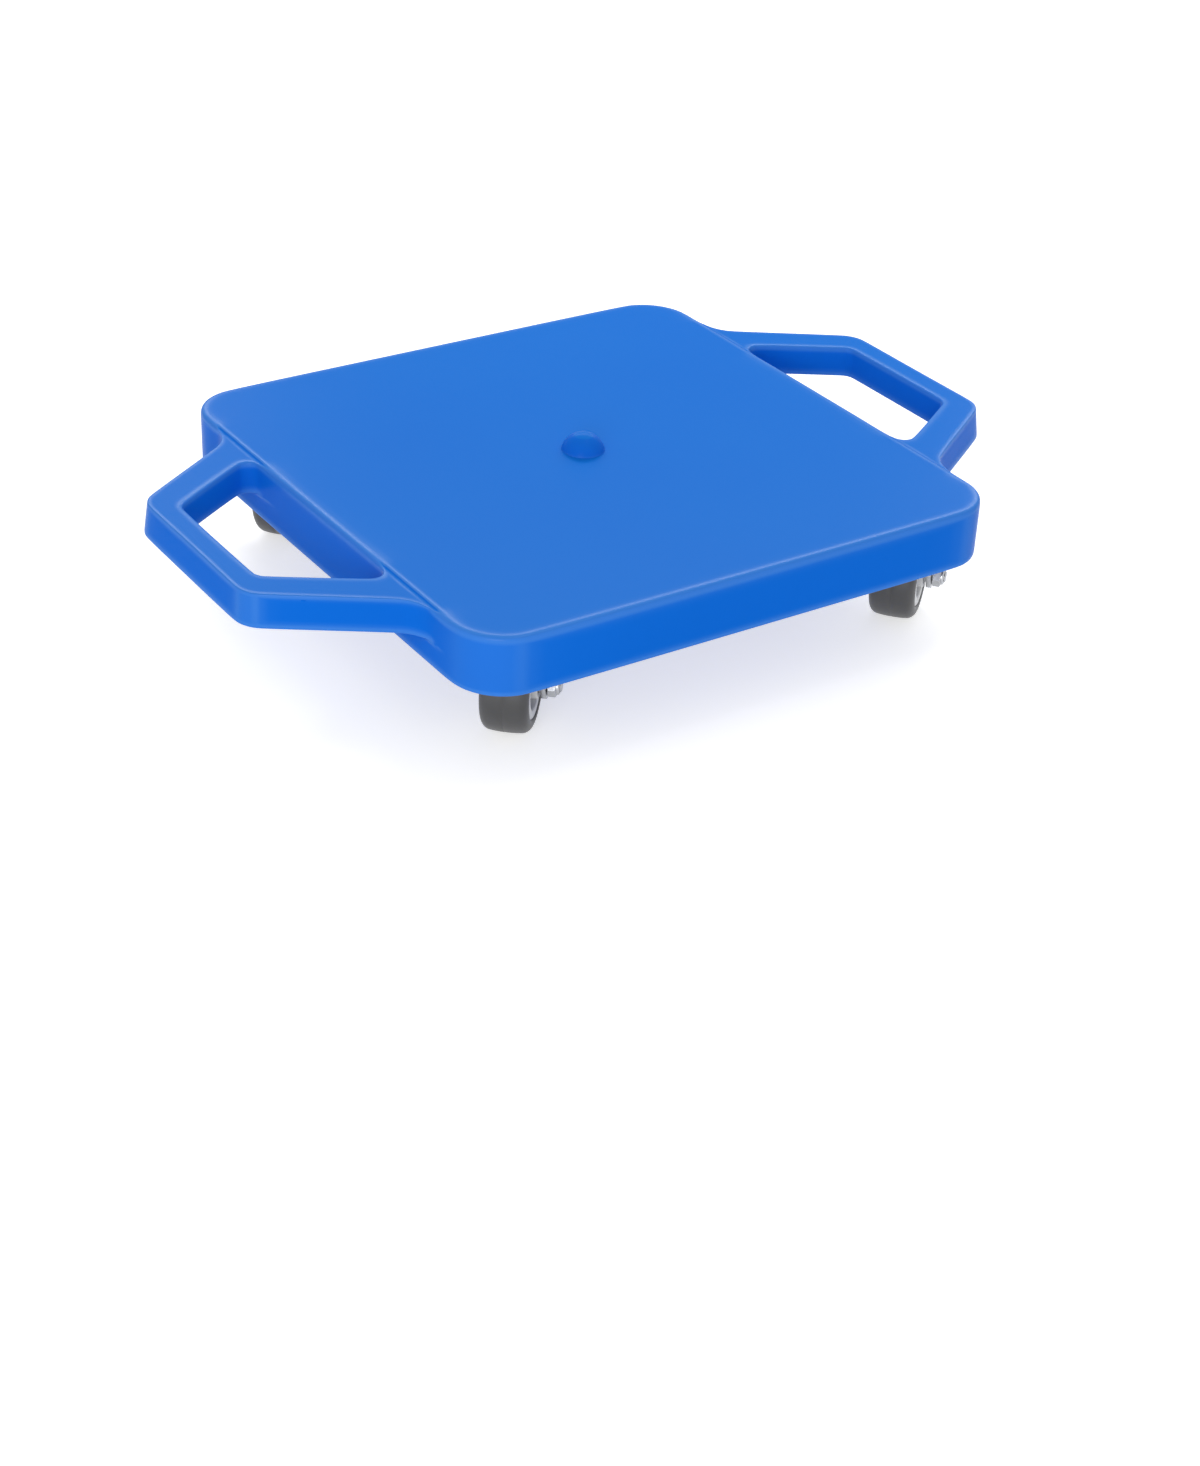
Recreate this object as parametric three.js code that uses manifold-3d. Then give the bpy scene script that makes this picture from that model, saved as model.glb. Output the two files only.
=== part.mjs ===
// A scooter board: a square moulded deck with a handle loop on each side, on four swivel casters.
// Millimetres, +Z up. The origin is on the floor under the middle of the board, X runs from
// handle to handle and the side towards -Y is the front.
import * as THREE from "three";
import { mergeVertices } from "three/addons/utils/BufferGeometryUtils.js";
import Module from "manifold-3d";

const wasm = await Module();
wasm.setup();

// Clearances and cutting
const seatGap = 0.3;
const runningGap = 0.4;
const overrun = 2;
const mergeDistance = 0.001;

// Deck
const deckSide = 305;
const deckThickness = 31;
const deckCornerRadius = 28;
const deckEdgeRadius = 2.5;
const skirtWall = 3.6;
const skirtLipRadius = 1;
const topWall = 3.8;
const cavityFillet = 2;
const deckCornerSteps = 7;
const deckEdgeSteps = 4;
const smallEdgeSteps = 1;

// Round button in the middle of the deck's top
const buttonRadius = 11.3;
const buttonHeight = 9;
const buttonSteps = 18;
const buttonRings = 6;

// Handle loops
const handleReach = 70;
const handleDrop = 0.8;
const handleHeight = 17.2;
const handleRootHalf = 100.3;
const handleEndHalf = 56;
const armWidth = 22;
const barWidth = 16.5;
const handleDraft = 2.5;
const handleTopRadius = 2.4;
const handleBottomRadius = 1.5;
const handleCornerRadius = 18;
const handleRootFillet = 22;
const channelRootRadius = 9;
const gripCornerRadius = 8;
const gripRootRadius = 7;
const gripEdgeRadius = 2.4;
const gripDraft = 0.8;
const handleWall = 3.4;
const handleRibWall = 2.2;
const handleRibsPerBar = 3;
const handleRibsPerArm = 2;
const handleRibRise = 1;
const handleEmbed = 18;
const handleCornerSteps = 5;
const handleFilletSteps = 2;

// Ribs, screw bosses and caster pockets under the deck
const ribWall = 2.4;
const ribCells = 8;
const ribRise = 6;
const padSide = 44;
const padCornerRadius = 6;
const pilotRadius = 2.3;
const pilotDepth = 11.5;
const rivetPocketRadius = 8.5;
const rivetPocketDepth = 3;
const sweepClearance = 1.8;

// Wheels
const wheelRadius = 25;
const tyreWidth = 24;
const tyreShoulder = 4;
const tyreShoulderSteps = 3;
const tyreSteps = 26;
const rimOuterRadius = 17.7;
const rimInnerRadius = 13;
const rimInset = 0.5;
const webWidth = 6;
const webFillet = 1;
const bossRadius = 7.4;
const bossLength = 27;
const hubSteps = 18;

// Caster frame
const casterSetback = 35.5;
const casterHeight = 63.5;
const trail = 16;
const rideHeight = 47;
const plateSide = 40;
const plateThickness = 2;
const plateCornerRadius = 4;
const plateHolePitch = 30;
const plateHoleRadius = 2.5;
const racewayRadius = 15;
const racewayWall = 2.2;
const racewayDepth = 5;
const forkSheet = 2.5;
const forkInnerGap = 30;
const forkCrownDrop = 8.1;
const forkCrownBack = 13;
const forkCrownFront = 15;
const forkCrownCornerRadius = 7;
const forkEyeRadius = 7;
const forkLegBack = 9.5;
const forkLegFront = 13.5;
const forkEyeSteps = 8;
const forkEdgeSteps = 2;

// Kingpin, bearing, axle and fasteners
const kingpinRadius = 4;
const kingpinHeadRadius = 6.5;
const kingpinHeadHeight = 1.6;
const bearingInnerRadius = 7.5;
const bearingBulge = 1.2;
const axleRadius = 3;
const sleeveRadius = 4.4;
const hexAcrossFlats = 10;
const hexSides = 6;
const boltHeadHeight = 4;
const nutHeight = 4.2;
const nutCollarRadius = 4.2;
const nutCollarHeight = 1.4;
const boltEnd = 0.8;
const screwShankRadius = 2;
const screwLength = 12;
const screwTip = 2;
const screwHeadRadius = 4;
const screwHeadHeight = 2.4;
const screwCrown = 0.9;
const screwSlotWidth = 1.1;
const screwSlotLength = 4.4;
const screwSlotDepth = 1.3;
const boltSteps = 12;
const screwSteps = 8;
const plateSteps = 3;
const pocketSteps = 32;

// How each caster stands at rest: the turn of its axle about the vertical, in degrees
const casters = [
  { name: "front_left", side: -1, end: -1, turn: -43 },
  { name: "front_right", side: 1, end: -1, turn: -50 },
  { name: "back_left", side: -1, end: 1, turn: -47 },
  { name: "back_right", side: 1, end: 1, turn: -46 },
];

// Heights and places that follow from the sizes above
const deckHalf = deckSide / 2;
const casterOffset = deckHalf - casterSetback;
const deckBottom = rideHeight;
const deckTop = deckBottom + deckThickness;
const ceiling = deckTop - topWall;
const padFace = casterHeight + seatGap;
const handleTop = deckTop - handleDrop;
const handleBottom = handleTop - handleHeight;
const handleEnd = deckHalf + handleReach;
const plateBottom = casterHeight - plateThickness;
const racewayBottom = plateBottom - racewayDepth;
const crownTop = casterHeight - forkCrownDrop;
const crownBottom = crownTop - forkSheet;
const legInner = forkInnerGap / 2;
const legOuter = legInner + forkSheet;

const plastic = new THREE.MeshStandardMaterial({ color: 0x1064d5, roughness: 0.38, metalness: 0 });
const tyreRubber = new THREE.MeshStandardMaterial({ color: 0x2b2b2d, roughness: 0.5, metalness: 0 });
const hubPlastic = new THREE.MeshStandardMaterial({ color: 0xc3c4c7, roughness: 0.45, metalness: 0 });
const zincSteel = new THREE.MeshStandardMaterial({ color: 0xb9bcc0, roughness: 0.3, metalness: 1 });
const screwSteel = new THREE.MeshStandardMaterial({ color: 0xa3a6aa, roughness: 0.35, metalness: 1 });

// Joining and cutting closed solids
function solidOf(geometry) {
  const bare = geometry.clone();
  bare.deleteAttribute("normal");
  bare.deleteAttribute("uv");
  const merged = mergeVertices(bare, mergeDistance);
  const mesh = new wasm.Mesh({
    numProp: 3,
    vertProperties: merged.attributes.position.array,
    triVerts: new Uint32Array(merged.index.array),
  });
  return new wasm.Manifold(mesh);
}

function geometryOf(solid) {
  const mesh = solid.getMesh();
  const geometry = new THREE.BufferGeometry();
  geometry.setAttribute("position", new THREE.BufferAttribute(mesh.vertProperties, 3));
  geometry.setIndex(new THREE.BufferAttribute(mesh.triVerts, 1));
  geometry.computeVertexNormals();
  return geometry;
}

function joined(solids) {
  return solids.reduce((sum, solid) => sum.add(solid));
}

function cut(solid, tools) {
  return tools.reduce((rest, tool) => rest.subtract(tool), solid);
}

// The radius of a faceted circle whose flats, not its corners, lie at the given radius
function overFlats(radius, steps) {
  return radius / Math.cos(Math.PI / steps);
}

// An outline with rounded corners, drawn in by an inset. The corners run anticlockwise, each
// with its place and radius. A corner that turns inwards grows as the outline is drawn in.
function outline(corners, inset, steps) {
  const points = [];
  corners.forEach((corner, i) => {
    const here = new THREE.Vector2(corner.x, corner.y);
    const before = corners[(i + corners.length - 1) % corners.length];
    const after = corners[(i + 1) % corners.length];
    const come = here.clone().sub(new THREE.Vector2(before.x, before.y)).normalize();
    const go = new THREE.Vector2(after.x, after.y).sub(here).normalize();
    const comeIn = new THREE.Vector2(-come.y, come.x);
    const goIn = new THREE.Vector2(-go.y, go.x);
    const turn = Math.atan2(come.cross(go), come.dot(go));
    const way = Math.sign(turn);
    const radius = Math.max(corner.radius - way * inset, 0);
    const apex = here.add(comeIn.clone().add(goIn).multiplyScalar(inset / (1 + comeIn.dot(goIn))));
    const start = apex.addScaledVector(come, -radius * Math.tan(Math.abs(turn) / 2));
    const centre = start.clone().addScaledVector(comeIn, way * radius);
    const count = radius > 0 ? steps : 0;
    for (let k = 0; k <= count; k++) {
      const share = count ? k / count : 0;
      points.push(start.clone().rotateAround(centre, turn * share));
    }
  });
  return points;
}

// A closed solid from an outline drawn at rising heights, each with its own inset
function layered(corners, profile, steps) {
  const rings = profile.map(([inset, z]) => outline(corners, inset, steps).map((p) => [p.x, p.y, z]));
  const count = rings[0].length;
  const index = [];
  for (let k = 0; k + 1 < rings.length; k++) {
    for (let i = 0; i < count; i++) {
      const a = k * count + i;
      const b = k * count + ((i + 1) % count);
      index.push(a, b, b + count, a, b + count, a + count);
    }
  }
  const flat = (ring) => ring.map(([x, y]) => new THREE.Vector2(x, y));
  const last = (rings.length - 1) * count;
  for (const [a, b, c] of THREE.ShapeUtils.triangulateShape(flat(rings[0]), [])) index.push(c, b, a);
  for (const [a, b, c] of THREE.ShapeUtils.triangulateShape(flat(rings.at(-1)), []))
    index.push(last + a, last + b, last + c);
  const geometry = new THREE.BufferGeometry();
  geometry.setAttribute("position", new THREE.Float32BufferAttribute(rings.flat(2), 3));
  geometry.setIndex(index);
  return solidOf(geometry);
}

function rectangle(width, depth, radius) {
  return [
    { x: -width / 2, y: -depth / 2, radius },
    { x: width / 2, y: -depth / 2, radius },
    { x: width / 2, y: depth / 2, radius },
    { x: -width / 2, y: depth / 2, radius },
  ];
}

// The part of a profile that rounds an upper edge over, from the wall to the top face
function roundedTop(radius, inset, top, steps) {
  const rings = [];
  for (let k = 0; k <= steps; k++) {
    const angle = (k / steps) * (Math.PI / 2);
    rings.push([inset + radius * (1 - Math.cos(angle)), top - radius * (1 - Math.sin(angle))]);
  }
  return rings;
}

// The same for a lower edge, from the bottom face to the wall
function roundedBottom(radius, inset, bottom, steps) {
  return roundedTop(radius, inset, -bottom, steps)
    .map(([drawn, z]) => [drawn, -z])
    .reverse();
}

function box(width, depth, low, high, x, y) {
  const geometry = new THREE.BoxGeometry(width, depth, high - low);
  geometry.translate(x, y, (low + high) / 2);
  return solidOf(geometry);
}

// A turned solid about the vertical. Its profile's points are [radius, height].
function turned(profile, steps) {
  const points = profile.map(([radius, height]) => new THREE.Vector2(radius, height));
  return new THREE.LatheGeometry(points, steps).rotateX(Math.PI / 2);
}

function post(radius, low, high, x, y, steps) {
  const profile = [
    [0, low],
    [radius, low],
    [radius, high],
    [0, high],
  ];
  return solidOf(turned(profile, steps).translate(x, y, 0));
}

// A turned solid about X, with a flat of its facets straight down
function turnedAlongAxle(profile, steps) {
  const points = profile.map(([radius, place]) => new THREE.Vector2(radius, place));
  return new THREE.LatheGeometry(points, steps).rotateY(Math.PI / steps).rotateZ(-Math.PI / 2);
}

// Deck and handles
function deckShell() {
  const corners = rectangle(deckSide, deckSide, deckCornerRadius);
  const profile = [
    ...roundedBottom(skirtLipRadius, 0, deckBottom, smallEdgeSteps),
    ...roundedTop(deckEdgeRadius, 0, deckTop, deckEdgeSteps),
  ];
  return layered(corners, profile, deckCornerSteps);
}

function deckCavity() {
  const corners = rectangle(deckSide, deckSide, deckCornerRadius);
  const profile = [
    [skirtWall, deckBottom - overrun],
    ...roundedTop(cavityFillet, skirtWall, ceiling, smallEdgeSteps),
  ];
  return layered(corners, profile, deckCornerSteps);
}

function deckButton() {
  const sphereRadius = (buttonRadius ** 2 + buttonHeight ** 2) / (2 * buttonHeight);
  const spread = Math.asin(buttonRadius / sphereRadius);
  const centre = deckTop + buttonHeight - sphereRadius;
  const profile = [
    [0, ceiling + topWall / 2],
    [buttonRadius, ceiling + topWall / 2],
  ];
  for (let k = 0; k < buttonRings; k++) {
    const angle = spread * (1 - k / buttonRings);
    profile.push([sphereRadius * Math.sin(angle), centre + sphereRadius * Math.cos(angle)]);
  }
  profile.push([0, deckTop + buttonHeight]);
  return solidOf(turned(profile, buttonSteps));
}

// How far the arms' outer edges draw in for each millimetre outwards, and their slant
const armSlope = (handleRootHalf - handleEndHalf) / handleReach;
const armStretch = Math.hypot(1, armSlope);
const gripEnd = handleEnd - barWidth;
const gripEndHalf = handleEndHalf + barWidth * armSlope - armWidth * armStretch;
const gripRootHalf = handleRootHalf - armWidth * armStretch;

// Outline of the right handle's outside, with a flare that meets the deck's wall
function handleCorners(rootRadius) {
  const wall = deckHalf - seatGap;
  const inside = deckHalf - handleEmbed;
  const flare = handleRootHalf + handleEmbed;
  return [
    { x: inside, y: -flare, radius: 0 },
    { x: wall, y: -flare, radius: 0 },
    { x: wall, y: -handleRootHalf, radius: rootRadius },
    { x: handleEnd, y: -handleEndHalf, radius: handleCornerRadius },
    { x: handleEnd, y: handleEndHalf, radius: handleCornerRadius },
    { x: wall, y: handleRootHalf, radius: rootRadius },
    { x: wall, y: flare, radius: 0 },
    { x: inside, y: flare, radius: 0 },
  ];
}

// Outline of the opening that the hand goes through
function gripCorners() {
  return [
    { x: deckHalf - seatGap, y: -gripRootHalf, radius: gripRootRadius },
    { x: gripEnd, y: -gripEndHalf, radius: gripCornerRadius },
    { x: gripEnd, y: gripEndHalf, radius: gripCornerRadius },
    { x: deckHalf - seatGap, y: gripRootHalf, radius: gripRootRadius },
  ];
}

function handleLoop() {
  const outside = layered(
    handleCorners(handleRootFillet),
    [
      ...roundedBottom(handleBottomRadius, 0, handleBottom, smallEdgeSteps),
      ...roundedTop(handleTopRadius, handleDraft, handleTop, handleFilletSteps),
    ],
    handleCornerSteps,
  );
  const edge = roundedTop(gripEdgeRadius, 0, handleTop, handleFilletSteps).map(([drawn, z]) => [
    -drawn - gripDraft,
    z,
  ]);
  const grip = layered(
    gripCorners(),
    [[0, handleBottom - overrun], [0, handleBottom], ...edge, [-gripEdgeRadius - gripDraft, deckTop + overrun]],
    handleCornerSteps,
  );
  return cut(outside, [grip]);
}

// The channel that hollows the handle from below, crossed by short ribs
function handleChannel() {
  const roof = handleTop - handleWall;
  const body = layered(
    handleCorners(channelRootRadius).filter((corner) => corner.radius > 0),
    [
      [handleWall, handleBottom - overrun],
      [handleWall, handleBottom],
      [handleWall + handleDraft, roof],
    ],
    handleCornerSteps,
  );
  const core = layered(
    gripCorners(),
    [
      [-handleWall, handleBottom - 2 * overrun],
      [-handleWall, handleBottom],
      [-handleWall - gripDraft, roof + overrun],
    ],
    handleCornerSteps,
  );
  const ribs = [];
  const ribBottom = handleBottom + handleRibRise;
  for (let k = 0; k < handleRibsPerBar; k++) {
    const y = gripEndHalf * ((2 * k) / (handleRibsPerBar - 1) - 1);
    ribs.push(box(2 * barWidth, handleRibWall, ribBottom, roof + overrun, handleEnd - barWidth / 2, y));
  }
  const slant = Math.atan(armSlope);
  for (const end of [-1, 1]) {
    for (let k = 0; k < handleRibsPerArm; k++) {
      const out = ((k + 1 / 2) / handleRibsPerArm) * (handleReach - barWidth);
      const rib = new THREE.BoxGeometry(handleRibWall, 2 * armWidth, roof + overrun - ribBottom);
      rib.rotateZ(-end * slant);
      const middle = handleRootHalf - out * armSlope - (armWidth * armStretch) / 2;
      rib.translate(deckHalf + out, end * middle, (ribBottom + roof + overrun) / 2);
      ribs.push(solidOf(rib));
    }
  }
  return cut(body, [core, ...ribs]);
}

// Everything that swings about a kingpin stays inside this radius where it rises into the deck
const wheelReach = Math.sqrt(wheelRadius ** 2 - (rideHeight - wheelRadius) ** 2);
const sweepRadius = Math.hypot(trail + wheelReach, tyreWidth / 2) + sweepClearance;

function underDeckRibs() {
  const inner = deckSide - 2 * skirtWall;
  const bars = [];
  for (let k = 1; k < ribCells; k++) {
    const place = inner * (k / ribCells - 1 / 2);
    bars.push(box(ribWall, inner, deckBottom + ribRise, ceiling + topWall / 2, place, 0));
    bars.push(box(inner, ribWall, deckBottom + ribRise, ceiling + topWall / 2, 0, place));
  }
  const inside = layered(
    rectangle(deckSide, deckSide, deckCornerRadius),
    [
      [skirtWall / 2, deckBottom],
      [skirtWall / 2, deckTop - topWall / 2],
    ],
    deckCornerSteps,
  );
  const pockets = casters.map(({ side, end }) =>
    post(sweepRadius, deckBottom - overrun, padFace, side * casterOffset, end * casterOffset, pocketSteps),
  );
  return cut(joined(bars).intersect(inside), pockets);
}

function casterPad(x, y) {
  const corners = rectangle(padSide, padSide, padCornerRadius).map((corner) => ({
    ...corner,
    x: corner.x + x,
    y: corner.y + y,
  }));
  const profile = [
    [0, padFace],
    [0, ceiling + topWall / 2],
  ];
  return layered(corners, profile, plateSteps);
}

// The pocket for the kingpin's head and the pilot holes for the screws
function padHoles(x, y) {
  const holes = [post(rivetPocketRadius, padFace - overrun, padFace + rivetPocketDepth, x, y, boltSteps)];
  for (const [i, j] of screwPlaces())
    holes.push(post(pilotRadius, padFace - overrun, padFace + pilotDepth, x + i, y + j, screwSteps));
  return holes;
}

function screwPlaces() {
  const half = plateHolePitch / 2;
  return [
    [-half, -half],
    [half, -half],
    [half, half],
    [-half, half],
  ];
}

// A right-hand solid turned half round, onto the left side
function onLeft(solid) {
  return solidOf(geometryOf(solid).rotateZ(Math.PI));
}

function board() {
  const loop = handleLoop();
  const channel = handleChannel();
  const shell = joined([deckShell(), loop, onLeft(loop)]);
  const hollow = cut(shell, [deckCavity(), channel, onLeft(channel)]);
  const pads = casters.map(({ side, end }) => casterPad(side * casterOffset, end * casterOffset));
  const holes = casters.flatMap(({ side, end }) => padHoles(side * casterOffset, end * casterOffset));
  return cut(joined([hollow, underDeckRibs(), deckButton(), ...pads]), holes);
}

// Caster pieces that are fixed to the board, each about its own swivel axis
function mountingPlate() {
  const plate = layered(
    rectangle(plateSide, plateSide, plateCornerRadius),
    [
      [0, plateBottom],
      [0, casterHeight],
    ],
    plateSteps,
  );
  const raceway = solidOf(
    turned(
      [
        [racewayRadius - racewayWall, racewayBottom],
        [racewayRadius, racewayBottom],
        [racewayRadius + racewayWall / 2, plateBottom + plateThickness / 2],
        [racewayRadius - racewayWall, plateBottom + plateThickness / 2],
        [racewayRadius - racewayWall, racewayBottom],
      ],
      hubSteps,
    ),
  );
  const holes = screwPlaces().map(([x, y]) =>
    post(overFlats(plateHoleRadius, screwSteps), plateBottom - overrun, casterHeight + overrun, x, y, screwSteps),
  );
  const bore = overFlats(kingpinRadius + seatGap, boltSteps);
  holes.push(post(bore, plateBottom - overrun, casterHeight + overrun, 0, 0, boltSteps));
  return geometryOf(cut(joined([plate, raceway]), holes));
}

function kingpin() {
  const headBase = casterHeight + seatGap;
  const footTop = crownBottom - seatGap;
  return turned(
    [
      [0, footTop - kingpinHeadHeight],
      [kingpinHeadRadius - kingpinHeadHeight, footTop - kingpinHeadHeight],
      [kingpinHeadRadius, footTop],
      [kingpinRadius, footTop],
      [kingpinRadius, headBase],
      [kingpinHeadRadius, headBase],
      [kingpinHeadRadius - kingpinHeadHeight, headBase + kingpinHeadHeight],
      [0, headBase + kingpinHeadHeight],
    ],
    boltSteps,
  );
}

// The ball race between the raceway and the fork's crown, as one ring with its cage
function bearingRing() {
  const outer = racewayRadius - racewayWall - seatGap - bearingBulge;
  const low = crownTop + seatGap;
  const high = plateBottom - seatGap;
  const middle = (low + high) / 2;
  return turned(
    [
      [bearingInnerRadius, low],
      [outer, low],
      [outer + bearingBulge, middle],
      [outer, high],
      [bearingInnerRadius, high],
      [bearingInnerRadius, low],
    ],
    hubSteps,
  );
}

function plateScrew() {
  const under = plateBottom - seatGap;
  const face = under - screwHeadHeight;
  const screw = turned(
    [
      [0, face],
      [screwHeadRadius - screwCrown, face],
      [screwHeadRadius, face + screwCrown],
      [screwHeadRadius, under],
      [screwShankRadius, under],
      [screwShankRadius, under + screwLength - screwTip],
      [0, under + screwLength],
    ],
    screwSteps,
  );
  const high = face + screwSlotDepth;
  const across = box(screwSlotLength, screwSlotWidth, face - overrun, high, 0, 0);
  const along = box(screwSlotWidth, screwSlotLength, face - overrun, high, 0, 0);
  return geometryOf(cut(solidOf(screw), [across, along]));
}

// Caster pieces that swing: X runs along the axle and the wheel trails towards +Y
function fork() {
  const leg = new THREE.Shape();
  leg.moveTo(-forkLegBack, crownBottom);
  const back = Math.atan2(crownBottom - wheelRadius, trail + forkLegBack - forkEyeRadius);
  leg.lineTo(trail - forkEyeRadius * Math.sin(back), wheelRadius - forkEyeRadius * Math.cos(back));
  leg.absarc(trail, wheelRadius, forkEyeRadius, -Math.PI / 2 - back, 0, false);
  leg.lineTo(forkLegFront, crownBottom);
  leg.lineTo(forkLegFront, crownTop - forkSheet / 2);
  leg.lineTo(-forkLegBack, crownTop - forkSheet / 2);
  leg.closePath();
  const sheet = new THREE.ExtrudeGeometry(leg, { depth: forkSheet, bevelEnabled: false, curveSegments: forkEyeSteps });
  // The drawing's X and Y become Y and Z, and its depth runs along the axle
  sheet.applyMatrix4(
    new THREE.Matrix4().makeBasis(
      new THREE.Vector3(0, 1, 0),
      new THREE.Vector3(0, 0, 1),
      new THREE.Vector3(1, 0, 0),
    ),
  );
  const right = solidOf(sheet.clone().translate(legInner, 0, 0));
  const left = solidOf(sheet.translate(-legOuter, 0, 0));
  const half = legOuter;
  const crownRadius = forkCrownCornerRadius;
  const crown = layered(
    [
      { x: -half, y: -forkCrownBack, radius: crownRadius },
      { x: half, y: -forkCrownBack, radius: crownRadius },
      { x: half, y: forkCrownFront, radius: crownRadius },
      { x: -half, y: forkCrownFront, radius: crownRadius },
    ],
    [[0, crownBottom], ...roundedTop(forkSheet / 2, 0, crownTop, forkEdgeSteps)],
    plateSteps,
  );
  const bore = overFlats(kingpinRadius + runningGap, boltSteps);
  const eye = turnedAlongAxle(
    [
      [0, -legOuter - overrun],
      [overFlats(axleRadius + seatGap, boltSteps), -legOuter - overrun],
      [overFlats(axleRadius + seatGap, boltSteps), legOuter + overrun],
      [0, legOuter + overrun],
    ],
    boltSteps,
  ).translate(0, trail, wheelRadius);
  const holes = [post(bore, crownBottom - overrun, crownTop + overrun, 0, 0, boltSteps), solidOf(eye)];
  return geometryOf(cut(joined([crown, left, right]), holes));
}

// Pieces on the axle, with the middle of the wheel at their origin
function hexPrism(low, high) {
  const corner = overFlats(hexAcrossFlats / 2, hexSides);
  const bevel = (corner - hexAcrossFlats / 2) / 2;
  return solidOf(
    turnedAlongAxle(
      [
        [0, low],
        [corner - bevel, low],
        [corner, low + bevel],
        [corner, high - bevel],
        [corner - bevel, high],
        [0, high],
      ],
      hexSides,
    ),
  );
}

function axlePost(radius, low, high) {
  const profile = [
    [0, low],
    [radius, low],
    [radius, high],
    [0, high],
  ];
  return solidOf(turnedAlongAxle(profile, boltSteps));
}

function axleBolt() {
  const headEnd = -legOuter - seatGap;
  const tail = legOuter + seatGap + nutHeight + nutCollarHeight + boltEnd;
  const shank = axlePost(axleRadius, headEnd - boltHeadHeight / 2, tail);
  return geometryOf(joined([hexPrism(headEnd - boltHeadHeight, headEnd), shank]));
}

function axleNut() {
  const face = legOuter + seatGap;
  const collar = axlePost(nutCollarRadius, face + nutHeight / 2, face + nutHeight + nutCollarHeight);
  const hole = axlePost(overFlats(axleRadius + seatGap, boltSteps), face - overrun, face + 2 * nutHeight);
  return geometryOf(cut(joined([hexPrism(face, face + nutHeight), collar]), [hole]));
}

function axleSleeve() {
  const end = legInner - seatGap;
  const bore = overFlats(axleRadius + seatGap, boltSteps);
  return turnedAlongAxle(
    [
      [bore, -end],
      [sleeveRadius, -end],
      [sleeveRadius, end],
      [bore, end],
      [bore, -end],
    ],
    boltSteps,
  );
}

function wheelHub() {
  const bore = overFlats(sleeveRadius + runningGap, hubSteps);
  const boss = bossLength / 2;
  const web = webWidth / 2;
  const rim = tyreWidth / 2 - rimInset;
  const half = [
    [bore, -boss],
    [bossRadius, -boss],
    [bossRadius + webFillet, -web],
    [rimInnerRadius - webFillet, -web],
    [rimInnerRadius, -rim],
    [rimOuterRadius, -rim],
  ];
  const mirrored = half.map(([radius, place]) => [radius, -place]).reverse();
  return turnedAlongAxle([...half, ...mirrored, half[0]], hubSteps);
}

function wheelTyre() {
  const outer = overFlats(wheelRadius, tyreSteps);
  const inner = overFlats(rimOuterRadius + seatGap, tyreSteps);
  const side = tyreWidth / 2;
  const half = [[inner, -side + rimInset]];
  for (let k = 0; k <= tyreShoulderSteps; k++) {
    const angle = (k / tyreShoulderSteps) * (Math.PI / 2);
    half.push([
      outer - tyreShoulder * (1 - Math.sin(angle)),
      -side + tyreShoulder * (1 - Math.cos(angle)),
    ]);
  }
  const mirrored = half.map(([radius, place]) => [radius, -place]).reverse();
  return turnedAlongAxle([...half, ...mirrored, half[0]], tyreSteps);
}

// The assembly
function named(name, geometry, material) {
  const mesh = new THREE.Mesh(geometry, material);
  mesh.name = name;
  return mesh;
}

const scooterBoard = new THREE.Group();
scooterBoard.add(named("deck_board", geometryOf(board()), plastic));

for (const { name, side, end, turn } of casters) {
  const fixed = new THREE.Group();
  fixed.position.set(side * casterOffset, end * casterOffset, 0);
  fixed.add(named(`mounting_plate_${name}`, mountingPlate(), zincSteel));
  fixed.add(named(`kingpin_${name}`, kingpin(), zincSteel));
  fixed.add(named(`bearing_ring_${name}`, bearingRing(), screwSteel));
  screwPlaces().forEach(([x, y], i) => {
    const screw = named(`plate_screw_${name}_${i + 1}`, plateScrew(), screwSteel);
    screw.position.set(x, y, 0);
    fixed.add(screw);
  });

  const swivel = new THREE.Group();
  swivel.rotation.z = THREE.MathUtils.degToRad(turn);
  swivel.add(named(`fork_${name}`, fork(), zincSteel));

  const axle = new THREE.Group();
  axle.position.set(0, trail, wheelRadius);
  axle.add(named(`axle_bolt_${name}`, axleBolt(), zincSteel));
  axle.add(named(`axle_nut_${name}`, axleNut(), zincSteel));
  axle.add(named(`axle_sleeve_${name}`, axleSleeve(), zincSteel));
  axle.add(named(`wheel_hub_${name}`, wheelHub(), hubPlastic));
  axle.add(named(`wheel_tyre_${name}`, wheelTyre(), tyreRubber));
  swivel.add(axle);
  fixed.add(swivel);
  scooterBoard.add(fixed);
}

export default scooterBoard;
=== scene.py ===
# %% [markdown]
# # A scooter board
#
# The board is a square plastic moulding with a handle loop on each side. It rolls on four
# swivel casters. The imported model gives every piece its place, and this lesson dresses it:
# it models the visible surfaces finely, and gives each one its finish.

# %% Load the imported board
import math

import bmesh
import bpy
from mathutils import Matrix, Vector


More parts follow.
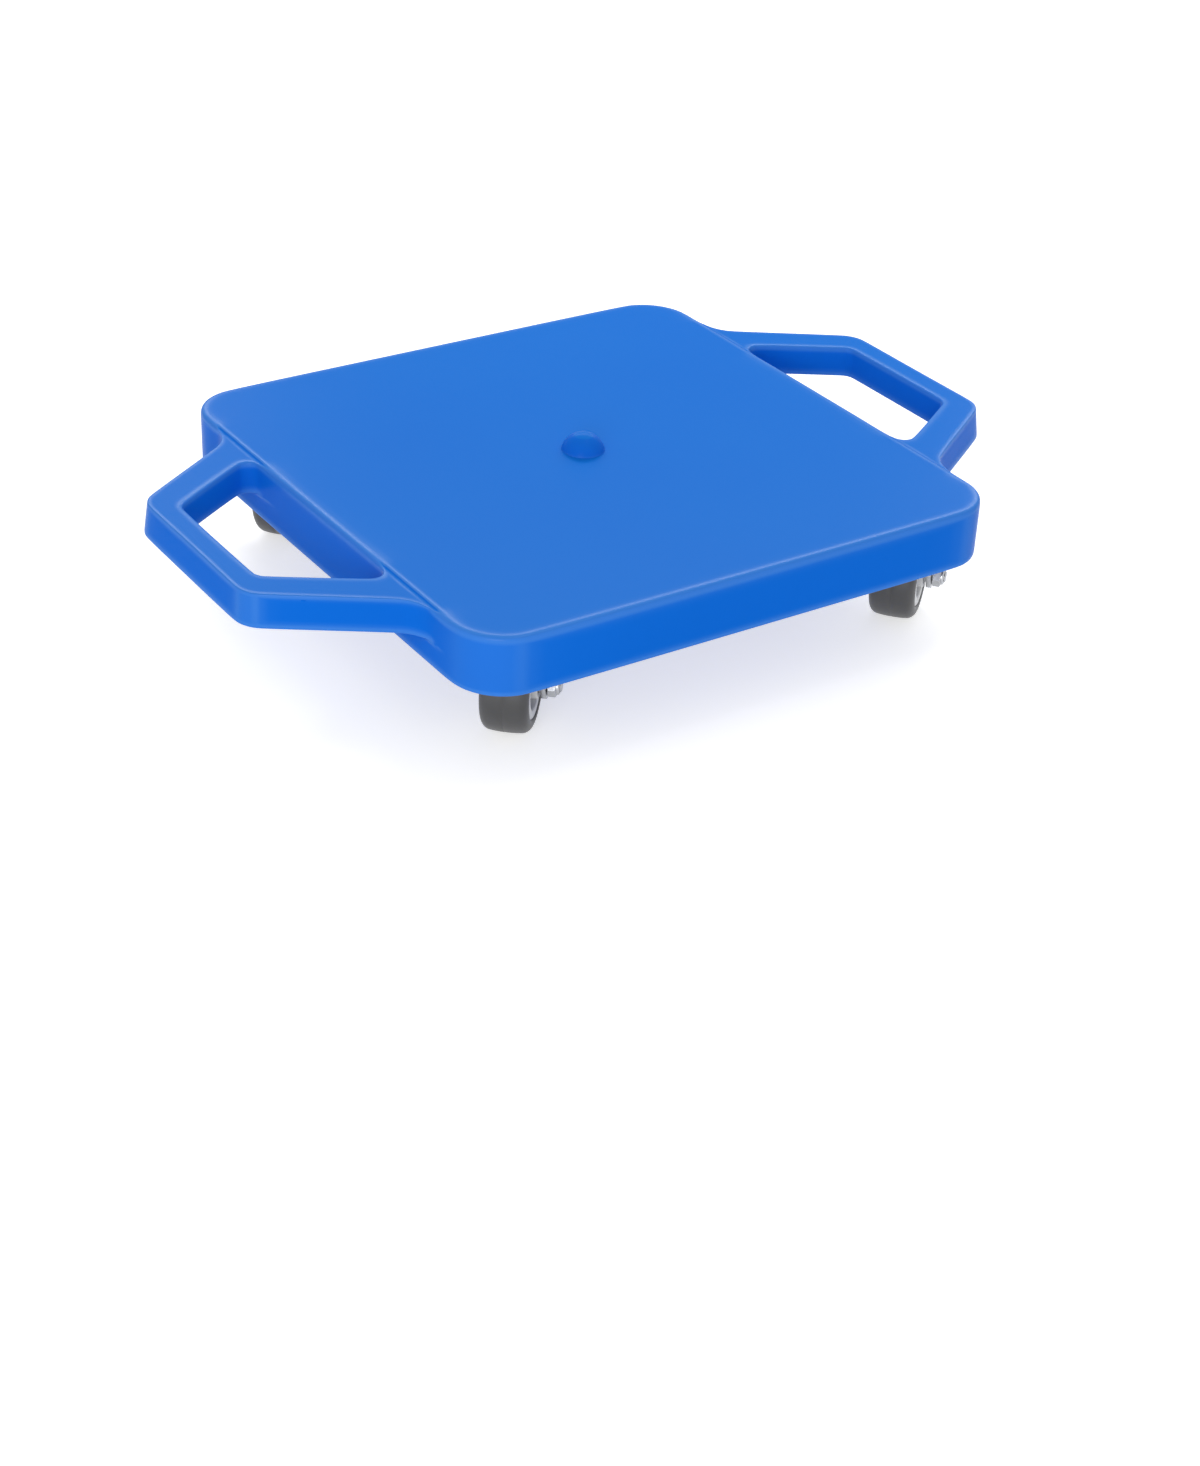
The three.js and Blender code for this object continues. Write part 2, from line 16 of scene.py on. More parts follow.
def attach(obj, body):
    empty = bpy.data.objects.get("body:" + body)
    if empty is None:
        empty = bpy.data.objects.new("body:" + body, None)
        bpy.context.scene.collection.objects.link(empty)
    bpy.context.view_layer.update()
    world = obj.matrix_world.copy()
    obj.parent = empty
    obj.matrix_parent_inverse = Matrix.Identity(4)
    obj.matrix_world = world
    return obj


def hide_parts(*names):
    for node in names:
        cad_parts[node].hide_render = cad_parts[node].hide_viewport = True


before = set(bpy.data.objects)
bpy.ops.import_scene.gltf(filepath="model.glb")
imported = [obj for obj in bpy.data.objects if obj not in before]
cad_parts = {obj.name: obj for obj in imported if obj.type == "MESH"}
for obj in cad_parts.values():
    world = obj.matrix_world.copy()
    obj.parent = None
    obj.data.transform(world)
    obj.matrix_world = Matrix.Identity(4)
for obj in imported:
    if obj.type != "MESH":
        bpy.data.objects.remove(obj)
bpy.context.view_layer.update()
MM = 0.001

# %% [markdown]
# ## Camera
#
# The camera stands where the photographer stood: in front, to the left and above. A long lens
# from more than a metre away keeps the board's sides nearly parallel. The board's middle sits
# above the centre of the tall frame, so the camera is slid sideways and down instead of
# turned, and the small roll tilts the horizon as in the picture.

# %% Put the camera in place
photo_size = (1200, 1466)
focal_pixels = 2570.37
view_azimuth = math.radians(-34.78)
view_elevation = math.radians(31.47)
view_roll = math.radians(2.79)
view_distance = 1333.6 * MM
board_pixel = (580.78, 503.26)
aim_height = 47 * MM

back = Vector(
    (
        math.sin(view_azimuth) * math.cos(view_elevation),
        -math.cos(view_azimuth) * math.cos(view_elevation),
        math.sin(view_elevation),
    )
)
level_right = Vector((math.cos(view_azimuth), math.sin(view_azimuth), 0))
level_up = back.cross(level_right)
right = level_right * math.cos(view_roll) + level_up * math.sin(view_roll)
up = level_up * math.cos(view_roll) - level_right * math.sin(view_roll)
slide_right = -(board_pixel[0] - photo_size[0] / 2) * view_distance / focal_pixels
slide_up = (board_pixel[1] - photo_size[1] / 2) * view_distance / focal_pixels

camera_data = bpy.data.cameras.new("photo_camera")
camera_data.sensor_width = 36
camera_data.lens = camera_data.sensor_width * focal_pixels / max(photo_size)
camera = bpy.data.objects.new("photo_camera", camera_data)
bpy.context.scene.collection.objects.link(camera)
bpy.context.scene.camera = camera
camera.rotation_euler = Matrix((right, up, back)).transposed().to_euler()
aim = Vector((0, 0, aim_height))
camera.location = aim + back * view_distance + right * slide_right + up * slide_up
print("camera at", [round(c, 3) for c in camera.location], "lens", round(camera_data.lens, 1))

# %% [markdown]
# ## Working in edit mode from code
#
# Edit-mode operators act on whatever is selected. By hand one clicks the faces; here a small
# test on each face, edge or vertex does the same. Everything is deselected first, because the
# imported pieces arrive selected.


# %% Helpers for selecting and editing
def deselect():
    bpy.ops.object.select_all(action="DESELECT")


def take(piece):
    deselect()
    piece.select_set(True)
    bpy.context.view_layer.objects.active = piece


def open_edit(piece):
    take(piece)
    bpy.ops.object.mode_set(mode="EDIT")
    bpy.ops.mesh.select_mode(type="VERT")
    bpy.ops.mesh.select_all(action="DESELECT")


def close_edit():
    bpy.ops.object.mode_set(mode="OBJECT")


def pick_all():
    bpy.ops.mesh.select_all(action="SELECT")


def extrude(move):
    bpy.ops.mesh.extrude_region_move(TRANSFORM_OT_translate={"value": move})


def apply_place():
    bpy.ops.object.transform_apply(location=True, rotation=True, scale=True)


def pick(piece, kind, test):
    """Selects, in edit mode, exactly the faces, edges or verts that pass a test."""
    bpy.ops.mesh.select_mode(type={"faces": "FACE", "edges": "EDGE", "verts": "VERT"}[kind])
    bpy.ops.mesh.select_all(action="DESELECT")
    mesh = bmesh.from_edit_mesh(piece.data)
    chosen = [part for part in getattr(mesh, kind) if test(part)]
    for part in chosen:
        part.select_set(True)
    mesh.select_flush_mode()
    bmesh.update_edit_mesh(piece.data)


dressed = {}


def finish_piece(piece, name, body, slot, nodes=(), smooth_angle=None):
    """Names a piece, smooths it, puts its place into its mesh and hangs it on its body."""
    take(piece)
    piece.name = name
    piece.data.name = name
    dressed[name] = slot
    apply_place()
    if smooth_angle is None:
        bpy.ops.object.shade_smooth()
    else:
        bpy.ops.object.shade_smooth_by_angle(angle=math.radians(smooth_angle))
    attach(piece, body)
    if nodes:
        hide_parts(*nodes)
    print(name, len(piece.data.polygons), "faces")


def apply_modifier(piece, kind, **settings):
    take(piece)
    modifier = piece.modifiers.new(kind.lower(), kind)
    for key, value in settings.items():
        setattr(modifier, key, value)
    bpy.ops.object.modifier_apply(modifier=modifier.name)


# %% [markdown]
# The board, its pads and the handles' ribs start as boxes, and cylinders drill the holes. No
# real edge is perfectly sharp, so those of the ribs, pads, plates and forks are broken.


# %% Helpers for plain solids
def soften(piece, width, angle):
    """Rounds each edge of a piece at which it turns by more than an angle, in degrees."""
    limit = math.radians(angle)
    apply_modifier(piece, "BEVEL", width=width, segments=2, limit_method="ANGLE", angle_limit=limit)


def block(sides, centre, turn=0):
    """A box with given sides about a point, turned about Z."""
    deselect()
    bpy.ops.mesh.primitive_cube_add(size=1, location=centre)
    piece = bpy.context.object
    piece.scale = sides
    piece.rotation_euler = (0, 0, turn)
    apply_place()
    return piece


def cylinder(radius, low, high, place=(0, 0), vertices=48):
    deselect()
    bpy.ops.mesh.primitive_cylinder_add(
        vertices=vertices, radius=radius, depth=high - low, location=(*place, (low + high) / 2)
    )
    return bpy.context.object


# %% [markdown]
# ## The board's cage
#
# The board is one moulding whose deck, skirt and handles flow into each other with soft
# edges. A boolean of a box and two loops would leave hard seams at the roots of the handles.
# So the board is modelled as a cage for a Subdivision Surface: few faces, with loops close to
# an edge where it should turn tightly. The board is alike in its four quarters, so one
# quarter is modelled and mirrored twice.

# %% Sizes of the board
deck_half = 152.5 * MM
deck_bottom = 47 * MM
deck_top = 78 * MM
deck_corner = 28 * MM
edge_reach = 3.4 * MM
edge_draw = 0.2 * MM
skirt_wall = 3.6 * MM
top_wall = 3.8 * MM
lip = 2 * MM
handle_top = deck_top - 0.8 * MM
handle_bottom = handle_top - 17.2 * MM
handle_root = 100.3 * MM
handle_end_half = 56 * MM
handle_reach = 70 * MM
arm_width = 22 * MM
bar_width = 16.5 * MM
handle_draft = 2.5 * MM
grip_draft = 0.8 * MM
handle_wall = 3.4 * MM
outer_corner = 18 * MM
inner_corner = 8 * MM
root_fillet_outer = 22 * MM
root_fillet_inner = 7 * MM
column_step = 3 * MM

handle_end = deck_half + handle_reach
bar_inside = handle_end - bar_width
arm_slope = (handle_root - handle_end_half) / handle_reach
arm_stretch = math.hypot(1, arm_slope)
grip_root = handle_root - arm_width * arm_stretch
grip_end = handle_end_half + bar_width * arm_slope - arm_width * arm_stretch


# %% Plan curves of the handle
def rounded(before, corner, after, radius, steps):
    """Points along the arc that rounds a corner, in plan."""
    come = (corner - before).normalized()
    go = (after - corner).normalized()
    turn = come.angle_signed(go)
    reach = radius * math.tan(abs(turn) / 2)
    start = corner - come * reach
    side = Vector((-come.y, come.x)) * (-1 if turn > 0 else 1)
    centre = start + side * radius
    arm = start - centre
    points = []
    for k in range(steps + 1):
        angle = -turn * k / steps
        cos, sin = math.cos(angle), math.sin(angle)
        points.append(centre + Vector((arm.x * cos - arm.y * sin, arm.x * sin + arm.y * cos)))
    return points


arc_steps = 4
wall_far = Vector((deck_half, deck_half))
wall_low = Vector((deck_half, 0))
root_outer = Vector((deck_half, handle_root))
root_inner = Vector((deck_half, grip_root))
end_outer = Vector((handle_end, handle_end_half))
end_inner = Vector((bar_inside, grip_end))
mirror_outer = Vector((handle_end, 0))
mirror_inner = Vector((bar_inside, 0))
outer_line = [
    *rounded(wall_far, root_outer, end_outer, root_fillet_outer, arc_steps),
    *rounded(root_outer, end_outer, mirror_outer, outer_corner, arc_steps),
    mirror_outer,
]
inner_line = [
    *rounded(wall_low, root_inner, end_inner, root_fillet_inner, arc_steps),
    *rounded(root_inner, end_inner, mirror_inner, inner_corner, arc_steps),
    mirror_inner,
]
stations = list(zip(inner_line, outer_line))
print(len(stations), "stations along half a handle")

# %% Block out one quarter of the deck
board = block(
    (deck_half, deck_half, deck_top - deck_bottom),
    (deck_half / 2, deck_half / 2, (deck_bottom + deck_top) / 2),
)
open_edit(board)
tiny = 0.01 * MM
facing = 0.9  # a face looks along an axis when this much of its normal lies along it


def near(a, b):
    return abs(a - b) < tiny


def on_seam(face):
    """Whether a face lies in one of the two planes that the quarter is mirrored in."""
    return any(all(near(vert.co[k], 0) for vert in face.verts) for k in (0, 1))


pick(board, "faces", on_seam)
bpy.ops.mesh.delete(type="FACE")
pick(board, "edges", lambda e: all(min(v.co.xy) > deck_half - tiny for v in e.verts))
bpy.ops.mesh.bevel(offset=deck_corner, segments=6, affect="EDGES")
print("quarter of the deck", tuple(round(side / MM, 1) for side in board.dimensions))

# %% [markdown]
# Such boards are open below, because a thick block of plastic would sink and warp as it cools.
# Insets give the skirt's wall and the loops near the rim, and the inner face is pushed up to
# leave the top's wall.

# %% Hollow it from below
pick(board, "faces", lambda f: f.normal.z > facing)
bpy.ops.mesh.inset(thickness=edge_reach, depth=0, use_boundary=False)
bpy.ops.mesh.inset(thickness=edge_reach, depth=0, use_boundary=False)
pick(board, "faces", lambda f: f.normal.z < -facing)
bpy.ops.mesh.inset(thickness=skirt_wall, depth=0, use_boundary=False)
extrude((0, 0, deck_top - top_wall - deck_bottom))
pick(board, "faces", on_seam)
bpy.ops.mesh.delete(type="FACE")
print("hollowed", len(bmesh.from_edit_mesh(board.data).faces), "faces")

# %% [markdown]
# A handle grows out of the skirt between two heights and two columns. Cuts through the whole
# cage put edges there, with a second cut close by wherever the smoothed surface has to turn
# tightly. The deck's rim also steps down a little above the handle's root.

# %% Cut the loops that hold its edges and the root of the handle
section_columns = [
    inner_line[0].y,
    inner_line[0].y + column_step,
    (inner_line[0].y + outer_line[0].y) / 2,
    outer_line[0].y - column_step,
    outer_line[0].y,
]
heights = [deck_bottom + lip, handle_bottom - lip, handle_bottom, handle_bottom + lip]
heights += [deck_top - 2 * edge_reach, deck_top - edge_reach]
middle_columns = [inner_line[0].y / 3, 2 * inner_line[0].y / 3]
for height in heights:
    pick_all()
    bpy.ops.mesh.bisect(plane_co=(0, 0, height), plane_no=(0, 0, 1))
for column in section_columns + middle_columns:
    pick_all()
    bpy.ops.mesh.bisect(plane_co=(0, column, 0), plane_no=(0, 1, 0))
print("cut at", len(heights), "heights and", len(section_columns + middle_columns), "columns")

# %% Step the deck's rim down to the handle
root_step = 1.0 * MM


def crosses_root_rim(edge):
    """Whether an edge runs from the rim's support loop to the rim, above the handle's root."""
    inside, outside = sorted(edge.verts, key=lambda v: v.co.x)
    level = min(inside.co.z, outside.co.z) > deck_top - tiny
    runs_out = near(inside.co.x, deck_half - edge_reach) and near(outside.co.x, deck_half)
    return level and runs_out and any(near(outside.co.y, column) for column in section_columns)


pick(board, "edges", crosses_root_rim)
bpy.ops.mesh.subdivide(number_cuts=2)
pick(
    board,
    "verts",
    lambda v: v.co.z > deck_top - tiny
    and deck_half - edge_reach / 2 < v.co.x < deck_half - tiny
    and any(near(v.co.y, column) for column in section_columns),
)
bpy.ops.transform.translate(value=(0, 0, -root_step))
close_edit()
print("deck quarter", len(board.data.polygons), "faces")

# %% [markdown]
# ## The handles
#
# The patch of wall where the handle starts is extruded along the loop, station by station,
# and each new section is set between the loop's inner and outer line. The walls lean in a
# little towards the top, because a moulded piece has to leave its mould.


# %% Sweep the handle out of the wall
def lean(z):
    return (z - handle_bottom) / (handle_top - handle_bottom)


def place_section(piece, old, new):
    """Moves the selected section from one pair of inner and outer points to the next.

    Points past the middle keep their distance from the outer one, and middle ones stay midway.
    """
    old_inner, old_outer = old
    new_inner, new_outer = new
    old_width = (old_outer - old_inner).length
    new_width = (new_outer - new_inner).length
    old_way = (old_outer - old_inner) / old_width
    new_way = (new_outer - new_inner) / new_width
    mesh = bmesh.from_edit_mesh(piece.data)
    for vert in (v for v in mesh.verts if v.select):
        along = (vert.co.xy - old_inner).dot(old_way)
        if along > 0.55 * old_width:
            along = new_width - (old_width - along)
        elif along > 0.45 * old_width:
            along = new_width / 2
        place = new_inner + new_way * along
        vert.co.x, vert.co.y = place.x, place.y
    bmesh.update_edit_mesh(piece.data)


def in_root_patch(face):
    """Whether a face belongs to the patch of wall that the handle grows from."""
    middle = face.calc_center_median()
    on_wall = face.normal.x > facing and middle.x > deck_half - tiny
    between = section_columns[0] < middle.y < section_columns[-1]
    return on_wall and between and middle.z > handle_bottom


open_edit(board)
pick(board, "faces", in_root_patch)
mesh = bmesh.from_edit_mesh(board.data)
for vert in (v for v in mesh.verts if v.select):
    if vert.co.z > deck_top - tiny:
        vert.co.z = handle_top
    if near(vert.co.y, section_columns[-1]):
        vert.co.y -= handle_draft * lean(vert.co.z)
    elif near(vert.co.y, section_columns[0]):
        vert.co.y += grip_draft * lean(vert.co.z)
bmesh.update_edit_mesh(board.data)
for before, after in zip(stations[:-1], stations[1:]):
    extrude((0, 0, 0))
    place_section(board, before, after)
bpy.ops.mesh.delete(type="FACE")
close_edit()
print("with the handle", len(board.data.polygons), "faces")


# %% Hollow the handle from below
def off_line(point, inner, outer):
    """How far a point lies from the line between a station's two ends."""
    way = (outer - inner).normalized()
    along = min(max((point - inner).dot(way), 0), (outer - inner).length)
    return (point - inner - way * along).length


open_edit(board)
pick(
    board,
    "faces",
    lambda f: abs(f.normal.z) > facing
    and f.calc_center_median().x > deck_half
    and near(f.calc_center_median().z, handle_bottom),
)
bpy.ops.mesh.inset(thickness=handle_wall, depth=0, use_boundary=False)
for rise in (lip, handle_top - handle_bottom - handle_wall - 2 * lip, lip):
    extrude((0, 0, rise))
    mesh = bmesh.from_edit_mesh(board.data)
    for vert in (v for v in mesh.verts if v.select):
        inner, outer = min(stations, key=lambda s: off_line(vert.co.xy, *s))
        way = (outer - inner).normalized()
        if (vert.co.xy - inner).dot(way) > (outer - inner).length / 2:
            vert.co.xy -= way * handle_draft * rise / (handle_top - handle_bottom)
    bmesh.update_edit_mesh(board.data)
pick(board, "faces", on_seam)
bpy.ops.mesh.delete(type="FACE")
print("hollow handle", len(bmesh.from_edit_mesh(board.data).faces), "faces")

# %% Draw the rim in a little, then mirror, join and smooth the board
centre = Vector((deck_half - deck_corner, deck_half - deck_corner))
mesh = bmesh.from_edit_mesh(board.data)
for vert in mesh.verts:
    if vert.co.z < deck_top - tiny:
        continue
    on_arc = min(vert.co.xy) > deck_half - deck_corner
    if on_arc and (vert.co.xy - centre).length > deck_corner - tiny:
        vert.co.xy = centre + (vert.co.xy - centre) * (1 - edge_draw / deck_corner)
        vert.co.z -= edge_draw
    elif vert.co.x > deck_half - tiny:
        vert.co.x -= edge_draw
        vert.co.z -= edge_draw
    elif vert.co.y > deck_half - tiny:
        vert.co.y -= edge_draw
        vert.co.z -= edge_draw
pick_all()
bpy.ops.mesh.normals_make_consistent(inside=False)
close_edit()
apply_modifier(board, "MIRROR", use_axis=(True, True, False), merge_threshold=0.05 * MM)
apply_modifier(board, "SUBSURF", levels=2, render_levels=2, boundary_smooth="PRESERVE_CORNERS")
finish_piece(board, "board_shell", "board", "deck_plastic", ["deck_board"])

# %% [markdown]
# ## Polished edges and painted sheen
#
# Hands and knees polish the edges of such a board, while its flat faces keep the satin of the
# mould, and nothing rubs in its hollows. The polish is a glossy coat, and the paler blue that
# the edges also get is a painted highlight. How sharply the surface turns outwards at a point
# says how much of both it gets, so that is measured on the finished mesh and kept on it as an
# attribute, which the material reads. The upper faces get a greener, paler blue, which is a
# painted sheen, and a second attribute says which faces those are.


# %% Measure how much each point is rubbed
def outward_turn(vert, edge):
    """The surface's turn per millimetre along an edge, where it turns outwards."""
    other = edge.other_vert(vert)
    if (other.co - vert.co).dot(vert.normal) > 0:
        return 0
    return vert.normal.angle(other.normal, 0) / (edge.calc_length() / MM)


def mark_gloss_and_sheen(piece, full_turn=0.09):
    """Stores at each point its share of edge gloss and painted highlight, and any painted top
    sheen.
    """
    mesh = bmesh.new()
    mesh.from_mesh(piece.data)
    mesh.normal_update()
    gloss_and_highlight_shares = []
    with_top_sheen = []
    for vert in mesh.verts:
        turn = max((outward_turn(vert, edge) for edge in vert.link_edges), default=0)
        # Sharp outward turns get a glossy coat and a painted highlight.
        gloss_and_highlight_shares.append(min(turn / full_turn, 1))
        # Upward faces at the top get a painted sheen.
        with_top_sheen.append(1 if vert.normal.z > facing and vert.co.z > handle_top - MM else 0)
    mesh.free()
    for name, shares in (("gloss_and_highlight", gloss_and_highlight_shares), ("top_sheen", with_top_sheen)):
        attribute = piece.data.attributes.new(name, "FLOAT", "POINT")
        attribute.data.foreach_set("value", shares)
        print(piece.name, name, round(sum(shares) / len(shares), 2))


mark_gloss_and_sheen(board)

# %% [markdown]
# ## The round button
#
# A round knob, nearly half a ball, marks the middle of the board. Round pieces are drawn as
# half a profile and spun about an axis, as on a lathe: that gives clean rings, and the edge
# can be given a small fillet point by point.


# %% A helper that turns a profile on a lathe
weld = 0.002 * MM


def lathe(name, profile, steps, axis="Z"):
    """Spins a profile of (radius, place along the axis) points, in metres, about X or Z."""
    deselect()
    bpy.ops.mesh.primitive_plane_add(size=MM)
    piece = bpy.context.object
    piece.name = name
    points = [Vector((r, 0, h)) if axis == "Z" else Vector((h, 0, r)) for r, h in profile]
    open_edit(piece)
    pick_all()
    bpy.ops.mesh.merge(type="CENTER")
    bpy.ops.transform.translate(value=points[0])
    for before, after in zip(points[:-1], points[1:]):
        extrude(after - before)
    pick_all()
    turn_axis = (0, 0, 1) if axis == "Z" else (1, 0, 0)
    bpy.ops.mesh.spin(steps=steps, angle=2 * math.pi, center=(0, 0, 0), axis=turn_axis)
    pick_all()
    bpy.ops.mesh.remove_doubles(threshold=weld)
    bpy.ops.mesh.normals_make_consistent(inside=False)
    close_edit()
    return piece


def fillet(centre_r, centre_h, radius, start, end, steps=4):
    """Points of an arc in a profile, from one angle to another in degrees."""
    angles = [math.radians(start + (end - start) * k / steps) for k in range(steps + 1)]
    return [(centre_r + radius * math.cos(a), centre_h + radius * math.sin(a)) for a in angles]


def mirrored(half):
    """A closed profile from its half with places below zero."""
    return [*half, *[(r, -h) for r, h in reversed(half)], half[0]]


# %% Turn the button
button_radius = 11.3 * MM
button_height = 9 * MM
dome_radius = (button_radius**2 + button_height**2) / (2 * button_height)
dome_centre = deck_top + button_height - dome_radius
dome_spread = math.degrees(math.asin(button_radius / dome_radius))
profile = [
    (0, deck_top - 2 * MM),
    (button_radius, deck_top - 2 * MM),
    (button_radius, deck_top - 0.1 * MM),
    *fillet(0, dome_centre, dome_radius, 90 - dome_spread + 1.5, 90, 16)[:-1],
    (0, deck_top + button_height),
]
button = lathe("button", profile, 64)
finish_piece(button, "centre_button", "board", "deck_plastic", smooth_angle=30)
# The knob is round all over, so only a turn ten times as sharp gets the full gloss and painted
# highlight.
mark_gloss_and_sheen(button, full_turn=0.9)

# %% [markdown]
# ## Under the deck
#
# A plate of plastic this wide would bend, so it is stiffened from below by a lattice of ribs.
# The lattice starts as a grid whose faces are deleted, and its edges are pulled up into thin
# sheets. Solidify then gives them their wall, also where they cross. The space in which each
# caster swings is cut out of the lattice afterwards.

# %% Draw the lattice of ribs
rib_wall = 2.4 * MM
rib_cells = 8
rib_bottom = deck_bottom + 6 * MM
rib_top = deck_top - 2.4 * MM
rib_half = deck_half - skirt_wall
deselect()
bpy.ops.mesh.primitive_grid_add(
    x_subdivisions=rib_cells,
    y_subdivisions=rib_cells,
    size=2 * rib_half,
    location=(0, 0, rib_bottom),
)
ribs = bpy.context.object
apply_place()
open_edit(ribs)
pick_all()
bpy.ops.mesh.delete(type="ONLY_FACE")
for k in (0, 1):
    pick(ribs, "edges", lambda e: all(abs(v.co[k]) > rib_half - tiny for v in e.verts))
    bpy.ops.mesh.delete(type="EDGE")
mesh = bmesh.from_edit_mesh(ribs.data)
for vert in mesh.verts:
    for k in (0, 1):
        if abs(vert.co[k]) > rib_half - tiny:
            vert.co[k] *= 1 + 1 * MM / rib_half
bmesh.update_edit_mesh(ribs.data)
pick_all()
bpy.ops.mesh.extrude_edges_move(TRANSFORM_OT_translate={"value": (0, 0, rib_top - rib_bottom)})
close_edit()
apply_modifier(
    ribs,
    "SOLIDIFY",
    thickness=rib_wall,
    offset=0,
    solidify_mode="NON_MANIFOLD",
    nonmanifold_thickness_mode="CONSTRAINTS",
)
print("lattice", len(ribs.data.polygons), "faces")

# %% Cut room for the casters, and round the ribs' edges
caster_offset = 117 * MM
pad_face = 63.8 * MM
sweep_radius = 32.1 * MM
sweep_low = 40 * MM


def cut_away(piece, tool, operation="DIFFERENCE"):
    apply_modifier(piece, "BOOLEAN", object=tool, operation=operation, solver="EXACT")
    bpy.data.objects.remove(tool)


for side in (-1, 1):
    for end in (-1, 1):
        place = (side * caster_offset, end * caster_offset)
        cut_away(ribs, cylinder(sweep_radius, sweep_low, pad_face, place, 96))
soften(ribs, 0.45 * MM, 50)
finish_piece(ribs, "under_deck_ribs", "board", "deck_plastic", smooth_angle=35)

# %% [markdown]
# ## Caster pads
#
# Each caster is screwed to a solid pad that hangs from the deck. The pad has a pocket for the
# kingpin's head and four pilot holes. One pad is made at the origin, and each copy gets its
# own mesh and its place in that mesh.

# %% A helper that copies a caster's piece to the four corners
casters = {
    "front_left": (-1, -1, -43),
    "front_right": (1, -1, -50),
    "back_left": (-1, 1, -47),
    "back_right": (1, 1, -46),
}


def to_corners(master, name, body, slot, node=None, turned=True, smooth_angle=35):
    """Copies a piece that is made about the swivel axis to every caster."""
    for corner, (side, end, turn) in casters.items():
        take(master)
        bpy.ops.object.duplicate()
        piece = bpy.context.object
        piece.location = (side * caster_offset, end * caster_offset, 0)
        piece.rotation_euler = (0, 0, math.radians(turn) if turned else 0)
        nodes = [f"{node}_{corner}"] if node else []
        finish_piece(piece, f"{name}_{corner}", body.format(corner), slot, nodes, smooth_angle)
    bpy.data.objects.remove(master)


# %% Make the pads
pad_side = 44 * MM
pad_corner = 6 * MM
hole_half = 15 * MM
pilot_radius = 2.3 * MM
pilot_depth = 11.5 * MM
pocket_radius = 8.5 * MM
pocket_depth = 3 * MM
overrun = 1 * MM
hole_places = [(x, y) for x in (-hole_half, hole_half) for y in (-hole_half, hole_half)]
pad = block((pad_side, pad_side, rib_top - pad_face), (0, 0, (pad_face + rib_top) / 2))
open_edit(pad)
pick(pad, "edges", lambda e: abs(e.verts[0].co.z - e.verts[1].co.z) > MM)
bpy.ops.mesh.bevel(offset=pad_corner, segments=6, affect="EDGES")
close_edit()
cut_away(pad, cylinder(pocket_radius, pad_face - overrun, pad_face + pocket_depth))
for place in hole_places:
    cut_away(pad, cylinder(pilot_radius, pad_face - overrun, pad_face + pilot_depth, place, 24))
soften(pad, 0.5 * MM, 60)
to_corners(pad, "caster_pad", "board", "deck_plastic", turned=False)

# %% [markdown]
# ## Ribs inside the handles
#
# The handle loops are hollow from below, and short ribs cross the channel. One rib is shaped
# from a cube, thinner at its free edge, and copied along both handles.

# %% Shape one rib and set it along the handles
rib_low = handle_bottom + 1 * MM
rib_high = handle_top - 2 * MM
handle_rib_wall = 2.2 * MM
rib = block((1, handle_rib_wall, rib_high - rib_low), (0, 0, (rib_low + rib_high) / 2))
open_edit(rib)
pick(rib, "faces", lambda f: f.normal.z < -facing)
bpy.ops.transform.resize(value=(1, 0.7, 1))
pick(
    rib,
    "edges",
    lambda e: all(v.co.z < rib_low + tiny for v in e.verts)
    and abs(e.verts[0].co.x - e.verts[1].co.x) > 0.5,
)
bpy.ops.mesh.bevel(offset=0.5 * MM, segments=3, affect="EDGES")
close_edit()

bar_middle = handle_end - bar_width / 2 - 1 * MM
bar_rib_length = bar_width - 4 * MM
arm_rib_length = arm_width - 4 * MM
slant = math.atan(arm_slope)
rib_places = [(bar_middle, y, 0, bar_rib_length) for y in (-grip_end, 0, grip_end)]
for share in (0.25, 0.75):
    out = share * (handle_reach - bar_width)
    middle = handle_root - out * arm_slope - arm_width * arm_stretch / 2
    for end in (-1, 1):
        across = end * (math.pi / 2 - slant)
        rib_places.append((deck_half + out, end * middle, across, arm_rib_length))
for name, side in (("left", -1), ("right", 1)):
    pieces = []
    for x, y, turn, length in rib_places:
        take(rib)
        bpy.ops.object.duplicate()
        copy = bpy.context.object
        copy.scale = (length, 1, 1)
        copy.rotation_euler = (0, 0, turn)
        bpy.ops.object.transform_apply(location=False, rotation=True, scale=True)
        copy.location = (x, y, 0)
        bpy.ops.object.transform_apply(location=True, rotation=False, scale=False)
        pieces.append(copy)
    take(pieces[0])
    for copy in pieces[1:]:
        copy.select_set(True)
    bpy.ops.object.join()
    joined = bpy.context.object
    if side < 0:
        joined.rotation_euler = (0, 0, math.pi)
    finish_piece(joined, f"handle_ribs_{name}", "board", "deck_plastic", smooth_angle=40)
bpy.data.objects.remove(rib)

# %% [markdown]
# ## Mounting plates
#
# The plate is pressed from sheet steel. The flat part starts as a circle whose corners are
# set along the plate's outline. The raceway that holds the balls is turned, with a soft bend
# where it leaves the sheet, and joined to the plate.


# %% A helper for flat sheet pieces
def sheet(name, outline, low, high, axis="Z"):
    """A flat piece with a drawn outline, standing from low to high along an axis."""
    deselect()
    bpy.ops.mesh.primitive_circle_add(vertices=len(outline), radius=MM, fill_type="NGON")
    piece = bpy.context.object
    piece.name = name
    open_edit(piece)
    mesh = bmesh.from_edit_mesh(piece.data)
    mesh.verts.ensure_lookup_table()
    ring = sorted(mesh.verts, key=lambda v: math.atan2(v.co.y, v.co.x))
    for vert, (a, b) in zip(ring, outline):
        vert.co = (a, b, low) if axis == "Z" else (low, a, b)
    bmesh.update_edit_mesh(piece.data)
    pick_all()
    extrude((0, 0, high - low) if axis == "Z" else (high - low, 0, 0))
    pick_all()
    bpy.ops.mesh.normals_make_consistent(inside=False)
    close_edit()
    return piece


